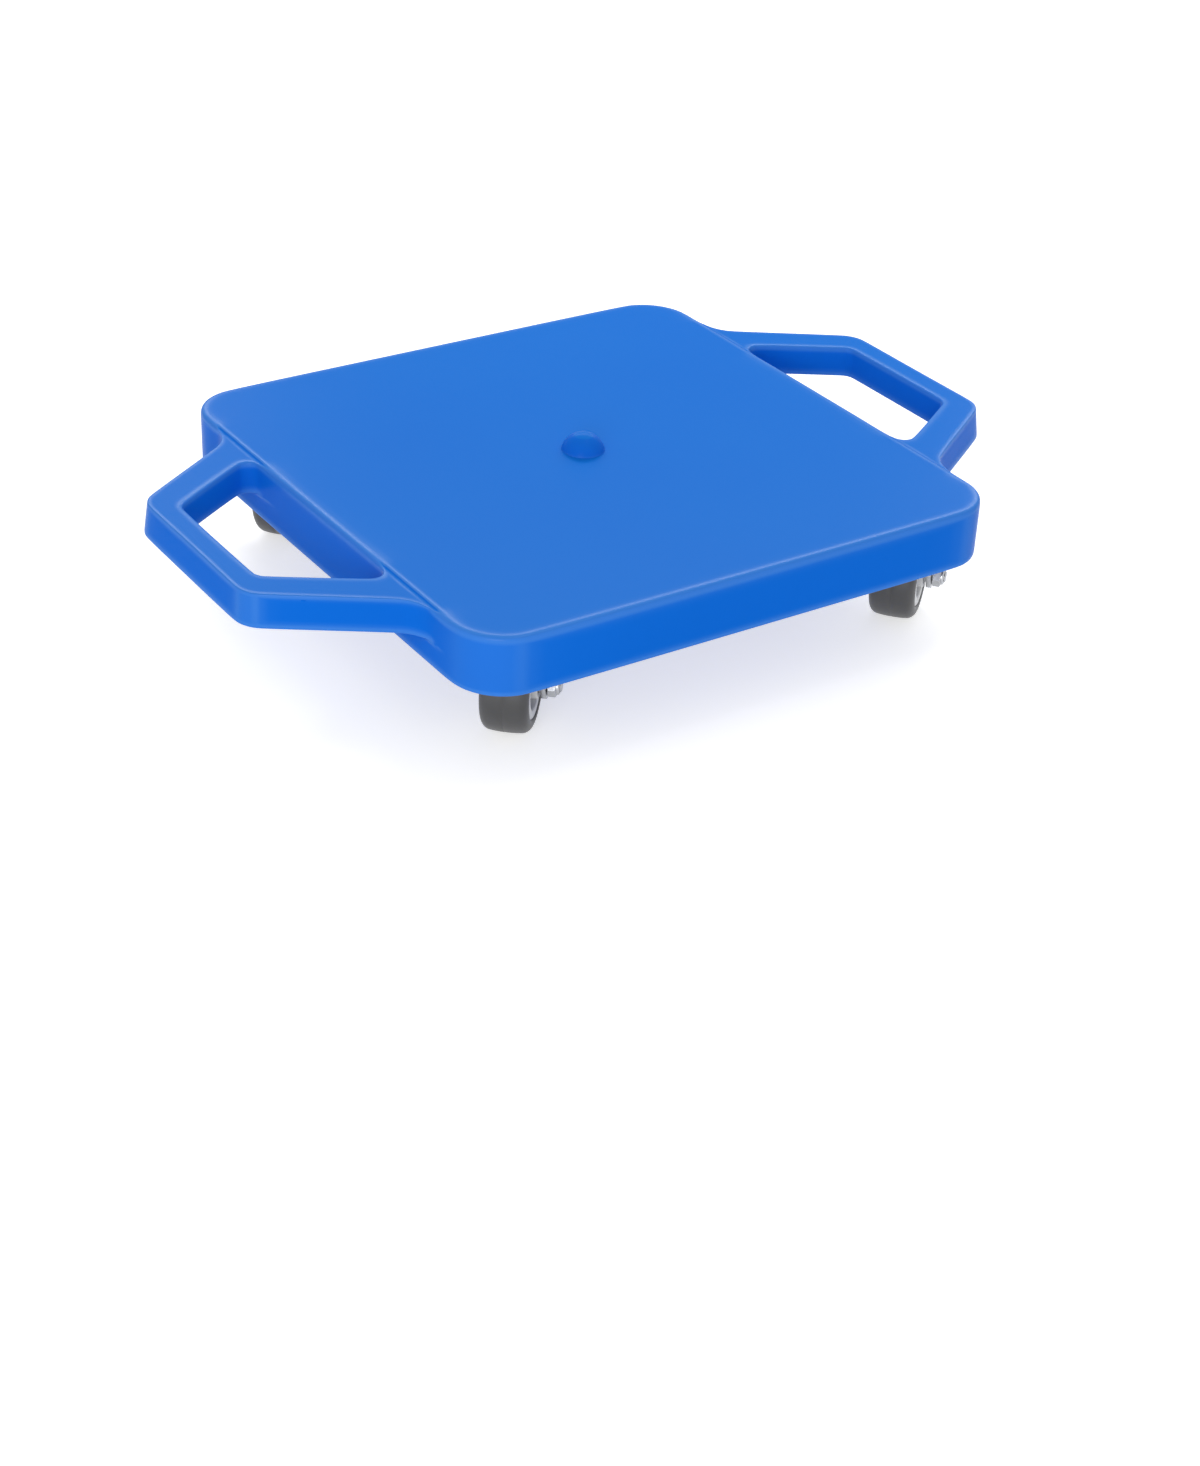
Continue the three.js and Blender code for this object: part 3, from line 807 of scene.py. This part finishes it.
def rounded_rectangle(low, high, radius, steps=5):
    """Outline points of a rectangle between two corners, with round corners."""
    points = []
    for x, y, start in (
        (high[0] - radius, high[1] - radius, 0),
        (low[0] + radius, high[1] - radius, 90),
        (low[0] + radius, low[1] + radius, 180),
        (high[0] - radius, low[1] + radius, 270),
    ):
        points += fillet(x, y, radius, start, start + 90, steps)
    return points


# %% Make the plates
plate_top = 63.8 * MM
plate_bottom = plate_top - 2.3 * MM
plate_half = 20 * MM
plate_corner = 4 * MM
raceway_inner = 12.8 * MM
bend_radius = 16.6 * MM
kingpin_hole = 4.2 * MM
screw_hole = 2.6 * MM
low, high = (-plate_half, -plate_half), (plate_half, plate_half)
plate_outline = rounded_rectangle(low, high, plate_corner)
plate = sheet("plate", plate_outline, plate_bottom, plate_top)
raceway_profile = [
    (raceway_inner, plate_bottom + 1 * MM),
    (raceway_inner, 57 * MM),
    *fillet(13.9 * MM, 57.3 * MM, 1.1 * MM, 200, 340, 6),
    (15.05 * MM, 59.6 * MM),
    *fillet(bend_radius, 59.9 * MM, 1.6 * MM, 180, 90, 5),
    (bend_radius, plate_bottom + 1 * MM),
    (raceway_inner, plate_bottom + 1 * MM),
]
cut_away(plate, lathe("raceway", raceway_profile, 72), "UNION")
cut_away(plate, cylinder(kingpin_hole, plate_bottom - 3 * MM, plate_top + overrun))
for place in hole_places:
    cut_away(plate, cylinder(screw_hole, plate_bottom - overrun, plate_top + overrun, place, 32))
soften(plate, 0.3 * MM, 60)
to_corners(plate, "caster_plate", "board", "zinc_steel", "mounting_plate", turned=False)

# %% [markdown]
# ## Kingpin and balls
#
# The kingpin is a rivet: a round shank with a pressed head at each end. The balls run in a
# ring inside the raceway. One ball is turned, and a spin that duplicates sets twelve of them
# round the pin.

# %% Turn the kingpin
kingpin_radius = 4 * MM
kingpin_head = 6.5 * MM
kingpin_profile = [
    (0, 51 * MM),
    (2.2 * MM, 51 * MM),
    (2.8 * MM, 50.9 * MM),
    (4.6 * MM, 51.05 * MM),
    *fillet(5.2 * MM, 52.2 * MM, 1.25 * MM, -80, 15, 5),
    (kingpin_radius, 52.65 * MM),
    (kingpin_radius, plate_top),
    (kingpin_head, plate_top),
    *fillet(5.4 * MM, 64.3 * MM, 1.1 * MM, 0, 85, 4),
    (0, 65.5 * MM),
]
kingpin = lathe("kingpin", kingpin_profile, 48)
to_corners(kingpin, "kingpin_rivet", "board", "zinc_steel", "kingpin", turned=False)

# %% Turn the ring of balls
ball_count = 12
ball_radius = 2.45 * MM
ball_ring = 10.1 * MM
ball_height = 58.4 * MM
ball = lathe("ball", fillet(0, 0, ball_radius, -90, 90, 10), 16)
ball.location = (ball_ring, 0, ball_height)
take(ball)
bpy.ops.object.transform_apply(location=True)
open_edit(ball)
pick_all()
bpy.ops.mesh.spin(steps=ball_count, angle=2 * math.pi, dupli=True, center=(0, 0, 0), axis=(0, 0, 1))
pick_all()
bpy.ops.mesh.remove_doubles(threshold=weld)
close_edit()
cage_inner, cage_outer = 7.6 * MM, 12.4 * MM
cage_low, cage_high = 57.6 * MM, 59.2 * MM
cage_profile = [
    (cage_inner, cage_low),
    (cage_outer, cage_low),
    (cage_outer, cage_high),
    (cage_inner, cage_high),
    (cage_inner, cage_low),
]
cage = lathe("cage", cage_profile, 48)
take(cage)
ball.select_set(True)
bpy.ops.object.join()
to_corners(cage, "ball_ring", "board", "screw_steel", "bearing_ring", turned=False)

# %% [markdown]
# ## Plate screws
#
# A pan-head screw is turned with a soft crown and a ringed shank. Two crossed bars, narrower
# at their tips, are cut out of the head for the driver. No two screws of a caster stop at the
# same angle.

# %% Make one screw and set four on each caster
screw_under = plate_bottom
screw_face = screw_under - 2.4 * MM
thread_root = 1.75 * MM
thread_crest = 2.05 * MM
thread_pitch = 1.1 * MM
thread = []
for k in range(8):
    thread.append((thread_root, screw_under + (1 + k) * thread_pitch))
    thread.append((thread_crest, screw_under + (1.5 + k) * thread_pitch))
screw_profile = [
    (0, screw_face),
    (1.8 * MM, screw_face + 0.08 * MM),
    *fillet(2.7 * MM, screw_face + 1.35 * MM, 1.3 * MM, -75, 0, 5),
    (4 * MM, screw_under - 0.15 * MM),
    (3.85 * MM, screw_under),
    (1.9 * MM, screw_under),
    *thread,
    (thread_root, screw_under + 10.3 * MM),
    (0, screw_under + 12 * MM),
]
screw = lathe("screw", screw_profile, 32)
bar_sides = (4.6 * MM, 1.1 * MM, 2 * MM)
for turn in (0, math.pi / 2):
    bar = block(bar_sides, (0, 0, screw_face + 0.4 * MM), turn)
    open_edit(bar)
    pick(bar, "faces", lambda f: f.normal.z > facing)
    bpy.ops.transform.resize(value=(0.55, 0.55, 1))
    close_edit()
    cut_away(screw, bar)
for index, (x, y) in enumerate([(-1, -1), (1, -1), (1, 1), (-1, 1)], start=1):
    for corner, (side, end, turn) in casters.items():
        take(screw)
        bpy.ops.object.duplicate()
        piece = bpy.context.object
        piece.rotation_euler = (0, 0, index * 0.7 + end + side / 2)
        piece.location = (
            side * caster_offset + x * hole_half,
            end * caster_offset + y * hole_half,
            0,
        )
        name = f"plate_screw_{corner}_{index}"
        finish_piece(piece, f"pan_screw_{corner}_{index}", "board", "screw_steel", [name], 35)
bpy.data.objects.remove(screw)

# %% [markdown]
# ## Forks
#
# The fork is one pressed sheet: a crown under the balls and two legs that reach back to the
# axle. The crown and the legs are cut to their outlines, joined, and the fold between them is
# bevelled wide, so that it looks bent and not welded.

# %% Cut the crown and the legs, and join them
sheet_wall = 2.5 * MM
crown_top = 55.4 * MM
crown_bottom = crown_top - sheet_wall
leg_inner = 15 * MM
leg_outer = leg_inner + sheet_wall
trail = 16 * MM
wheel_radius = 25 * MM
eye_radius = 7 * MM
leg_front, leg_back = -9.5 * MM, 11.5 * MM
crown_front, crown_back = -13 * MM, 15 * MM
crown_corner = 3.5 * MM


def tangent_angle(from_y, side):
    """The angle on the eye's circle at which a line from the crown's edge touches it."""
    away = Vector((from_y - trail, crown_bottom - wheel_radius))
    return math.degrees(math.atan2(away.y, away.x) + side * math.acos(eye_radius / away.length))


eye_start = tangent_angle(leg_front, 1)
eye_end = tangent_angle(leg_back, -1) + 360
leg_outline = [
    (leg_back, crown_bottom + 0.6 * sheet_wall),
    (leg_front, crown_bottom + 0.6 * sheet_wall),
    (leg_front, crown_bottom),
    *fillet(trail, wheel_radius, eye_radius, eye_start, eye_end, 20),
    (leg_back, crown_bottom),
]
low, high = (-leg_outer, crown_front), (leg_outer, crown_back)
crown_outline = rounded_rectangle(low, high, crown_corner)
fork = sheet("fork", crown_outline, crown_bottom, crown_top)
for low, high in ((leg_inner, leg_outer), (-leg_outer, -leg_inner)):
    cut_away(fork, sheet("leg", leg_outline, low, high, "X"), "UNION")
print("fork", len(fork.data.polygons), "faces")

# %% Bend the fold and drill the holes
fold_radius = 2.6 * MM
crown_hole = 4.4 * MM
eye_hole = 3.3 * MM
open_edit(fork)
pick(
    fork,
    "edges",
    lambda e: all(v.co.z > crown_top - tiny and abs(v.co.x) > leg_outer - tiny for v in e.verts),
)
bpy.ops.mesh.bevel(offset=fold_radius, segments=6, affect="EDGES")
close_edit()
cut_away(fork, cylinder(crown_hole, crown_bottom - overrun, crown_top + overrun))
drill = cylinder(eye_hole, -25 * MM, 25 * MM, vertices=40)
drill.location = (0, trail, wheel_radius)
drill.rotation_euler = (0, math.pi / 2, 0)
cut_away(fork, drill)
soften(fork, 0.35 * MM, 50)
to_corners(fork, "caster_fork", "swivel_{}", "zinc_steel", "fork")

# %% [markdown]
# ## Axle, nut and sleeve
#
# A hexagon nut isn't a plain six-sided prism: its corners are turned off at 30 degrees, which
# leaves the arcs that one sees on its faces. So each hexagon is intersected with a turned
# blank that has those cones.


# %% Hexagons with turned corners
across_flats = 10 * MM
hex_face = 4.75 * MM
cone = 0.75 * MM


def hexagon(name, low, high):
    prism = cylinder(across_flats / math.sqrt(3), low, high, vertices=6)
    prism.name = name
    prism.location = ((low + high) / 2, 0, 0)
    prism.rotation_euler = (0, math.pi / 2, 0)
    apply_place()
    cone_foot = hex_face + cone * math.sqrt(3)
    blank_profile = [
        (0, low),
        (hex_face, low),
        (cone_foot, low + cone),
        (cone_foot, high - cone),
        (hex_face, high),
        (0, high),
    ]
    blank = lathe("blank", blank_profile, 60, "X")
    cut_away(prism, blank, "INTERSECT")
    return prism


def on_axle(piece):
    """Moves a piece that is made about the X axis to the wheel's place behind the kingpin."""
    take(piece)
    piece.location = (0, trail, wheel_radius)
    apply_place()
    return piece


# %% Make the bolt, the lock nut and the sleeve
axle_radius = 3 * MM
nut_face = leg_outer + 0.1 * MM
nut_height = 4.4 * MM
bolt_end = nut_face + nut_height + 2.2 * MM
bolt = hexagon("bolt", -nut_face - 4.2 * MM, -nut_face)
groove = []
for k in range(4):
    groove.append((axle_radius, bolt_end - (4.2 - k) * MM))
    groove.append((axle_radius - 0.3 * MM, bolt_end - (3.7 - k) * MM))
shank = lathe(
    "shank",
    [
        (0, -nut_face - 2 * MM),
        (axle_radius, -nut_face - 2 * MM),
        *groove,
        (axle_radius, bolt_end - 0.5 * MM),
        (axle_radius - 0.5 * MM, bolt_end),
        (0, bolt_end),
    ],
    40,
    "X",
)
cut_away(bolt, shank, "UNION")
to_corners(on_axle(bolt), "axle_bolt_visible", "swivel_{}", "zinc_steel", "axle_bolt")

nut = hexagon("nut", nut_face, nut_face + nut_height)
collar_end = nut_face + nut_height + 1.4 * MM
collar_radius = 4.4 * MM
collar = lathe(
    "collar",
    [
        (0, nut_face + 1 * MM),
        (collar_radius, nut_face + 1 * MM),
        (collar_radius, collar_end - 1 * MM),
        *fillet(collar_radius - 1 * MM, collar_end - 1 * MM, 1 * MM, 0, 90, 4),
        (0, collar_end),
    ],
    48,
    "X",
)
cut_away(nut, collar, "UNION")
nut_bore = 3.12 * MM
bore = lathe("bore", [(0, 0), (nut_bore, 0), (nut_bore, 40 * MM), (0, 40 * MM)], 40, "X")
cut_away(nut, bore)
to_corners(on_axle(nut), "lock_nut", "swivel_{}", "zinc_steel", "axle_nut")

sleeve_end = leg_inner - 0.05 * MM
sleeve_half = [
    (3.15 * MM, -sleeve_end),
    (4.2 * MM, -sleeve_end),
    (4.4 * MM, -sleeve_end + 0.2 * MM),
]
sleeve = lathe("sleeve", mirrored(sleeve_half), 48, "X")
to_corners(on_axle(sleeve), "spacer_sleeve", "swivel_{}", "zinc_steel", "axle_sleeve")

# %% [markdown]
# ## Wheels
#
# A grey moulded hub carries a dark tread. Both are turned. The hub has a rim, a web set back
# from the faces, and a boss that runs on the sleeve, with fillets between them where a mould
# would have them.

# %% Turn the hub and the tyre
tyre_half = 12 * MM
rim_face = -tyre_half + 0.5 * MM
hub_half = [
    (4.55 * MM, -13.5 * MM),
    (6.9 * MM, -13.5 * MM),
    (7.4 * MM, -13 * MM),
    (7.5 * MM, -5 * MM),
    *fillet(9.1 * MM, -4.6 * MM, 1.6 * MM, 180, 90, 4),
    *fillet(11.2 * MM, -4.6 * MM, 1.6 * MM, 90, 0, 4),
    (13 * MM, rim_face + 0.6 * MM),
    *fillet(13.6 * MM, rim_face + 0.5 * MM, 0.5 * MM, 180, 270, 3),
    (16.9 * MM, rim_face),
    (17.5 * MM, rim_face + 0.35 * MM),
    (17.85 * MM, rim_face + 1 * MM),
]
hub = on_axle(lathe("hub", mirrored(hub_half), 72, "X"))
to_corners(hub, "wheel_hub_visible", "wheel_{}", "hub_plastic", "wheel_hub", smooth_angle=40)

tyre_half_profile = [
    (17.75 * MM, -tyre_half + 1.2 * MM),
    (18.1 * MM, -tyre_half + 0.5 * MM),
    (18.6 * MM, -tyre_half + 0.2 * MM),
    (19.6 * MM, -tyre_half),
    *fillet(wheel_radius - 5.4 * MM, -tyre_half + 5 * MM, 5 * MM, 275, 350, 8),
    (wheel_radius - 0.2 * MM, -5.5 * MM),
    (wheel_radius - 0.05 * MM, -3 * MM),
    (wheel_radius, -0.35 * MM),
    (wheel_radius - 0.12 * MM, -0.15 * MM),
]
tyre = on_axle(lathe("tyre", mirrored(tyre_half_profile), 96, "X"))
to_corners(tyre, "tyre_tread", "wheel_{}", "tyre_rubber", "wheel_tyre", smooth_angle=40)

# %% [markdown]
# ## Writing shader maths
#
# A material is a small program. One class lets sockets be added and multiplied like numbers,
# which adds the Math nodes, and one method adds any other node.


# %% The shader helpers
class Value:
    """A socket that can be used in sums and products."""

    def __init__(self, shader, socket):
        self.shader = shader
        self.socket = socket

    def calculate(self, operation, first, second):
        return self.shader.node("ShaderNodeMath", {"operation": operation}, {0: first, 1: second})

    def __add__(self, other):
        return self.calculate("ADD", self, other)

    def __sub__(self, other):
        return self.calculate("SUBTRACT", self, other)

    def __mul__(self, other):
        return self.calculate("MULTIPLY", self, other)

    __radd__ = __add__
    __rmul__ = __mul__


class Shader:
    """A new material, or a new world, and its nodes."""

    def __init__(self, name, family=bpy.data.materials):
        self.owner = family.new(name)
        self.owner.use_nodes = True
        self.tree = self.owner.node_tree
        self.tree.nodes.clear()

    def node(self, kind, settings=None, inputs=None, output=0):
        node = self.tree.nodes.new(kind)
        for key, value in (settings or {}).items():
            setattr(node, key, value)
        for key, value in (inputs or {}).items():
            if isinstance(value, Value):
                self.tree.links.new(value.socket, node.inputs[key])
            else:
                node.inputs[key].default_value = value
        return Value(self, node.outputs[output])

    def noise(self, size, detail=2, roughness=0.5):
        """Noise with features of a given size in metres."""
        place = self.node("ShaderNodeTexCoord", output="Object")
        inputs = {"Vector": place, "Scale": 1 / size, "Detail": detail, "Roughness": roughness}
        return self.node("ShaderNodeTexNoise", inputs=inputs, output="Fac")

    def blend(self, factor, first, second):
        """Mixes two colours, each a triple or the result of another blend."""
        first, second = (c if isinstance(c, Value) else (*c, 1) for c in (first, second))
        inputs = {0: factor, 6: first, 7: second}
        return self.node("ShaderNodeMix", {"data_type": "RGBA"}, inputs, output=2)

    def bump(self, height, distance, strength=1.0):
        inputs = {"Height": height, "Distance": distance, "Strength": strength}
        return self.node("ShaderNodeBump", inputs=inputs, output="Normal")

    def finish(self, **sockets):
        inputs = {key.replace("_", " "): value for key, value in sockets.items()}
        self.show(self.node("ShaderNodeBsdfPrincipled", inputs=inputs))
        return self.owner

    def show(self, surface, kind="ShaderNodeOutputMaterial"):
        output = self.tree.nodes.new(kind)
        self.tree.links.new(surface.socket, output.inputs["Surface"])
        print(self.owner.name, len(self.tree.nodes), "nodes")


# %% [markdown]
# ## Blue moulded plastic
#
# The board is moulded in one saturated blue, with a soft sheen. Up close such a surface is
# never even: the colour swims a little, the sheen changes where the melt flowed, and the
# steel of the mould leaves a very fine grain. Its colour also carries a painted highlight
# on the sharp edges and a painted sheen on the upper faces.

# %% Blue plastic
blue = Shader("blue_plastic")
flow = blue.noise(90 * MM, detail=3)
grain = blue.noise(0.8 * MM, detail=2)
peel = blue.noise(7 * MM, detail=1)
gloss_and_highlight = blue.node("ShaderNodeAttribute", {"attribute_name": "gloss_and_highlight"}, output="Fac")
top_sheen = blue.node("ShaderNodeAttribute", {"attribute_name": "top_sheen"}, output="Fac")
moulded = blue.blend(flow, (0.003, 0.128, 0.615), (0.004, 0.14, 0.66))
# Upward faces at the top get a greener, paler blue: a painted sheen.
with_top_sheen = blue.blend(top_sheen * (0.7 + 0.3 * flow), moulded, (0.006, 0.165, 0.64))
blue_plastic = blue.finish(
    # Sharp edges get a paler blue, which is a painted highlight, and a glossy coat.
    Base_Color=blue.blend(gloss_and_highlight * 0.6, with_top_sheen, (0.055, 0.23, 0.68)),
    Roughness=0.26 + flow * 0.04 + grain * 0.04 - gloss_and_highlight * 0.04,
    Normal=blue.bump(grain * 0.15 + peel, 0.04 * MM, 0.25),
    Specular_IOR_Level=0.012,
    Coat_Weight=gloss_and_highlight * 0.15,
    Coat_Roughness=0.25,
)

# %% [markdown]
# ## Tread, hub and metals
#
# The tread is dark grey with a dull sheen, and its fine grain scatters light. The hub is pale
# grey plastic. The pressed parts are zinc plated: bright, but mottled where the plating grew.

# %% Tread rubber
rubber = Shader("tread_rubber")
crumb = rubber.noise(0.7 * MM, detail=3)
dust = rubber.noise(12 * MM, detail=4)
tread_rubber = rubber.finish(
    Base_Color=rubber.blend(dust, (0.045, 0.045, 0.046), (0.07, 0.07, 0.071)),
    Roughness=0.34 + crumb * 0.14,
    Normal=rubber.bump(crumb, 0.05 * MM, 0.5),
    Specular_IOR_Level=0.5,
)

# %% Hub plastic
pale = Shader("hub_grey_plastic")
cloud = pale.noise(9 * MM, detail=3)
grit = pale.noise(0.5 * MM)
hub_grey = pale.finish(
    Base_Color=pale.blend(cloud, (0.66, 0.665, 0.675), (0.76, 0.765, 0.775)),
    Roughness=0.38 + grit * 0.1,
    Normal=pale.bump(grit, 0.03 * MM, 0.4),
    Specular_IOR_Level=0.35,
)


# %% Zinc plate and screw steel
def plated(name, dark, light, base_roughness):
    metal = Shader(name)
    spangle = metal.noise(3.5 * MM, detail=4, roughness=0.6)
    brushed = metal.noise(0.4 * MM)
    return metal.finish(
        Base_Color=metal.blend(spangle, dark, light),
        Metallic=1.0,
        Roughness=base_roughness + spangle * 0.12 + brushed * 0.05,
        Normal=metal.bump(brushed + spangle, 0.02 * MM, 0.5),
    )


zinc = plated("zinc_plate", (0.32, 0.33, 0.35), (0.56, 0.57, 0.59), 0.25)
steel = plated("screw_steel", (0.45, 0.46, 0.48), (0.68, 0.69, 0.71), 0.25)

# %% [markdown]
# Each piece has named its slot, and its finish follows from that.

# %% Give every piece its finish
finishes = {
    "deck_plastic": blue_plastic,
    "tyre_rubber": tread_rubber,
    "hub_plastic": hub_grey,
    "zinc_steel": zinc,
    "screw_steel": steel,
}
for name, slot in dressed.items():
    materials = bpy.data.objects[name].data.materials
    materials.clear()
    materials.append(finishes[slot])
print(len(dressed), "pieces have their finish")

# %% [markdown]
# ## Studio
#
# The floor is white. It glows, and to the camera more than to other things, so that it stays
# white at the edges of the picture while the board's shadow still shows. From below it is
# clear, so that the underside can be looked at. The white world is dimmer where it only lights.


# %% Floor
def seen_directly(shader):
    """One where a ray comes from the camera, a gloss or clear stuff, and else zero."""
    kinds = ("Camera", "Glossy", "Transmission")
    rays = [shader.node("ShaderNodeLightPath", output=f"Is {kind} Ray") for kind in kinds]
    inputs = {0: rays[0] + rays[1], 1: rays[2]}
    return shader.node("ShaderNodeMath", {"operation": "MAXIMUM"}, inputs)


white = (1, 1, 1, 1)
floor_glow, floor_glow_seen = 0.25, 0.58
deselect()
bpy.ops.mesh.primitive_plane_add(size=12)
floor = bpy.context.object
floor.name = "studio_floor"
paper = Shader("white_floor")
matt = paper.node("ShaderNodeBsdfDiffuse", inputs={"Color": (0.8, 0.8, 0.8, 1)})
faint = paper.node("ShaderNodeEmission", inputs={"Color": white, "Strength": floor_glow})
lit = paper.node("ShaderNodeAddShader", inputs={0: faint, 1: matt})
glow = paper.node("ShaderNodeEmission", inputs={"Color": white, "Strength": floor_glow_seen})
bright = paper.node("ShaderNodeAddShader", inputs={0: glow, 1: matt})
surface = paper.node("ShaderNodeMixShader", inputs={0: seen_directly(paper), 1: lit, 2: bright})
below = paper.node("ShaderNodeNewGeometry", output="Backfacing")
clear = paper.node("ShaderNodeBsdfTransparent")
paper.show(paper.node("ShaderNodeMixShader", inputs={0: below, 1: surface, 2: clear}))
floor.data.materials.append(paper.owner)

# %% World
world_fill = 0.58
sky = Shader("studio", bpy.data.worlds)
bpy.context.scene.world = sky.owner
strength = sky.node(
    "ShaderNodeMapRange",
    inputs={"Value": seen_directly(sky), "To Min": world_fill, "To Max": 1.0},
    output="Result",
)
light = sky.node("ShaderNodeBackground", inputs={"Color": white, "Strength": strength})
sky.show(light, "ShaderNodeOutputWorld")
bpy.context.scene.view_settings.view_transform = "Standard"

# %% [markdown]
# ## Lamps
#
# Soft boxes light the board. One stands low in front, so that the walls show their blue. Three
# stand behind, where the top mirrors them as a soft sheen. A narrow bar overhead lights the
# right handle.


# %% Lamps
def area_lamp(name, place, aim, width, height, power):
    lamp_data = bpy.data.lights.new(name, "AREA")
    lamp_data.shape = "RECTANGLE"
    lamp_data.size = width
    lamp_data.size_y = height
    lamp_data.energy = power
    lamp = bpy.data.objects.new(name, lamp_data)
    bpy.context.scene.collection.objects.link(lamp)
    lamp.location = place
    lamp.rotation_euler = (Vector(aim) - Vector(place)).to_track_quat("-Z", "Y").to_euler()
    print(name, power, "W")


area_lamp("low_front_box", (-1.25, -1.25, 0.45), (0, 0, 0.05), 0.9, 0.6, 11)
area_lamp("overhead_bar", (0.28, -0.12, 1.25), (0.2, -0.05, 0.07), 0.6, 0.16, 1.4)
back_reach = 1.5
aim_back = Vector((0.56, 0.83, 0)).normalized()
aim_side = Vector((-aim_back.y, aim_back.x, 0))
for name, sideways, height, width, tall, power in (
    ("back_box_high", 0, 1.22, 1.2, 0.4, 14),
    ("back_box_left", 0.58, 0.82, 0.4, 0.4, 2.4),
    ("back_box_right", -0.66, 0.84, 0.4, 0.4, 3.4),
):
    place = aim_back * back_reach + aim_side * sideways + Vector((0, 0, height))
    area_lamp(name, place, (0, 0, 0.07), width, tall, power)
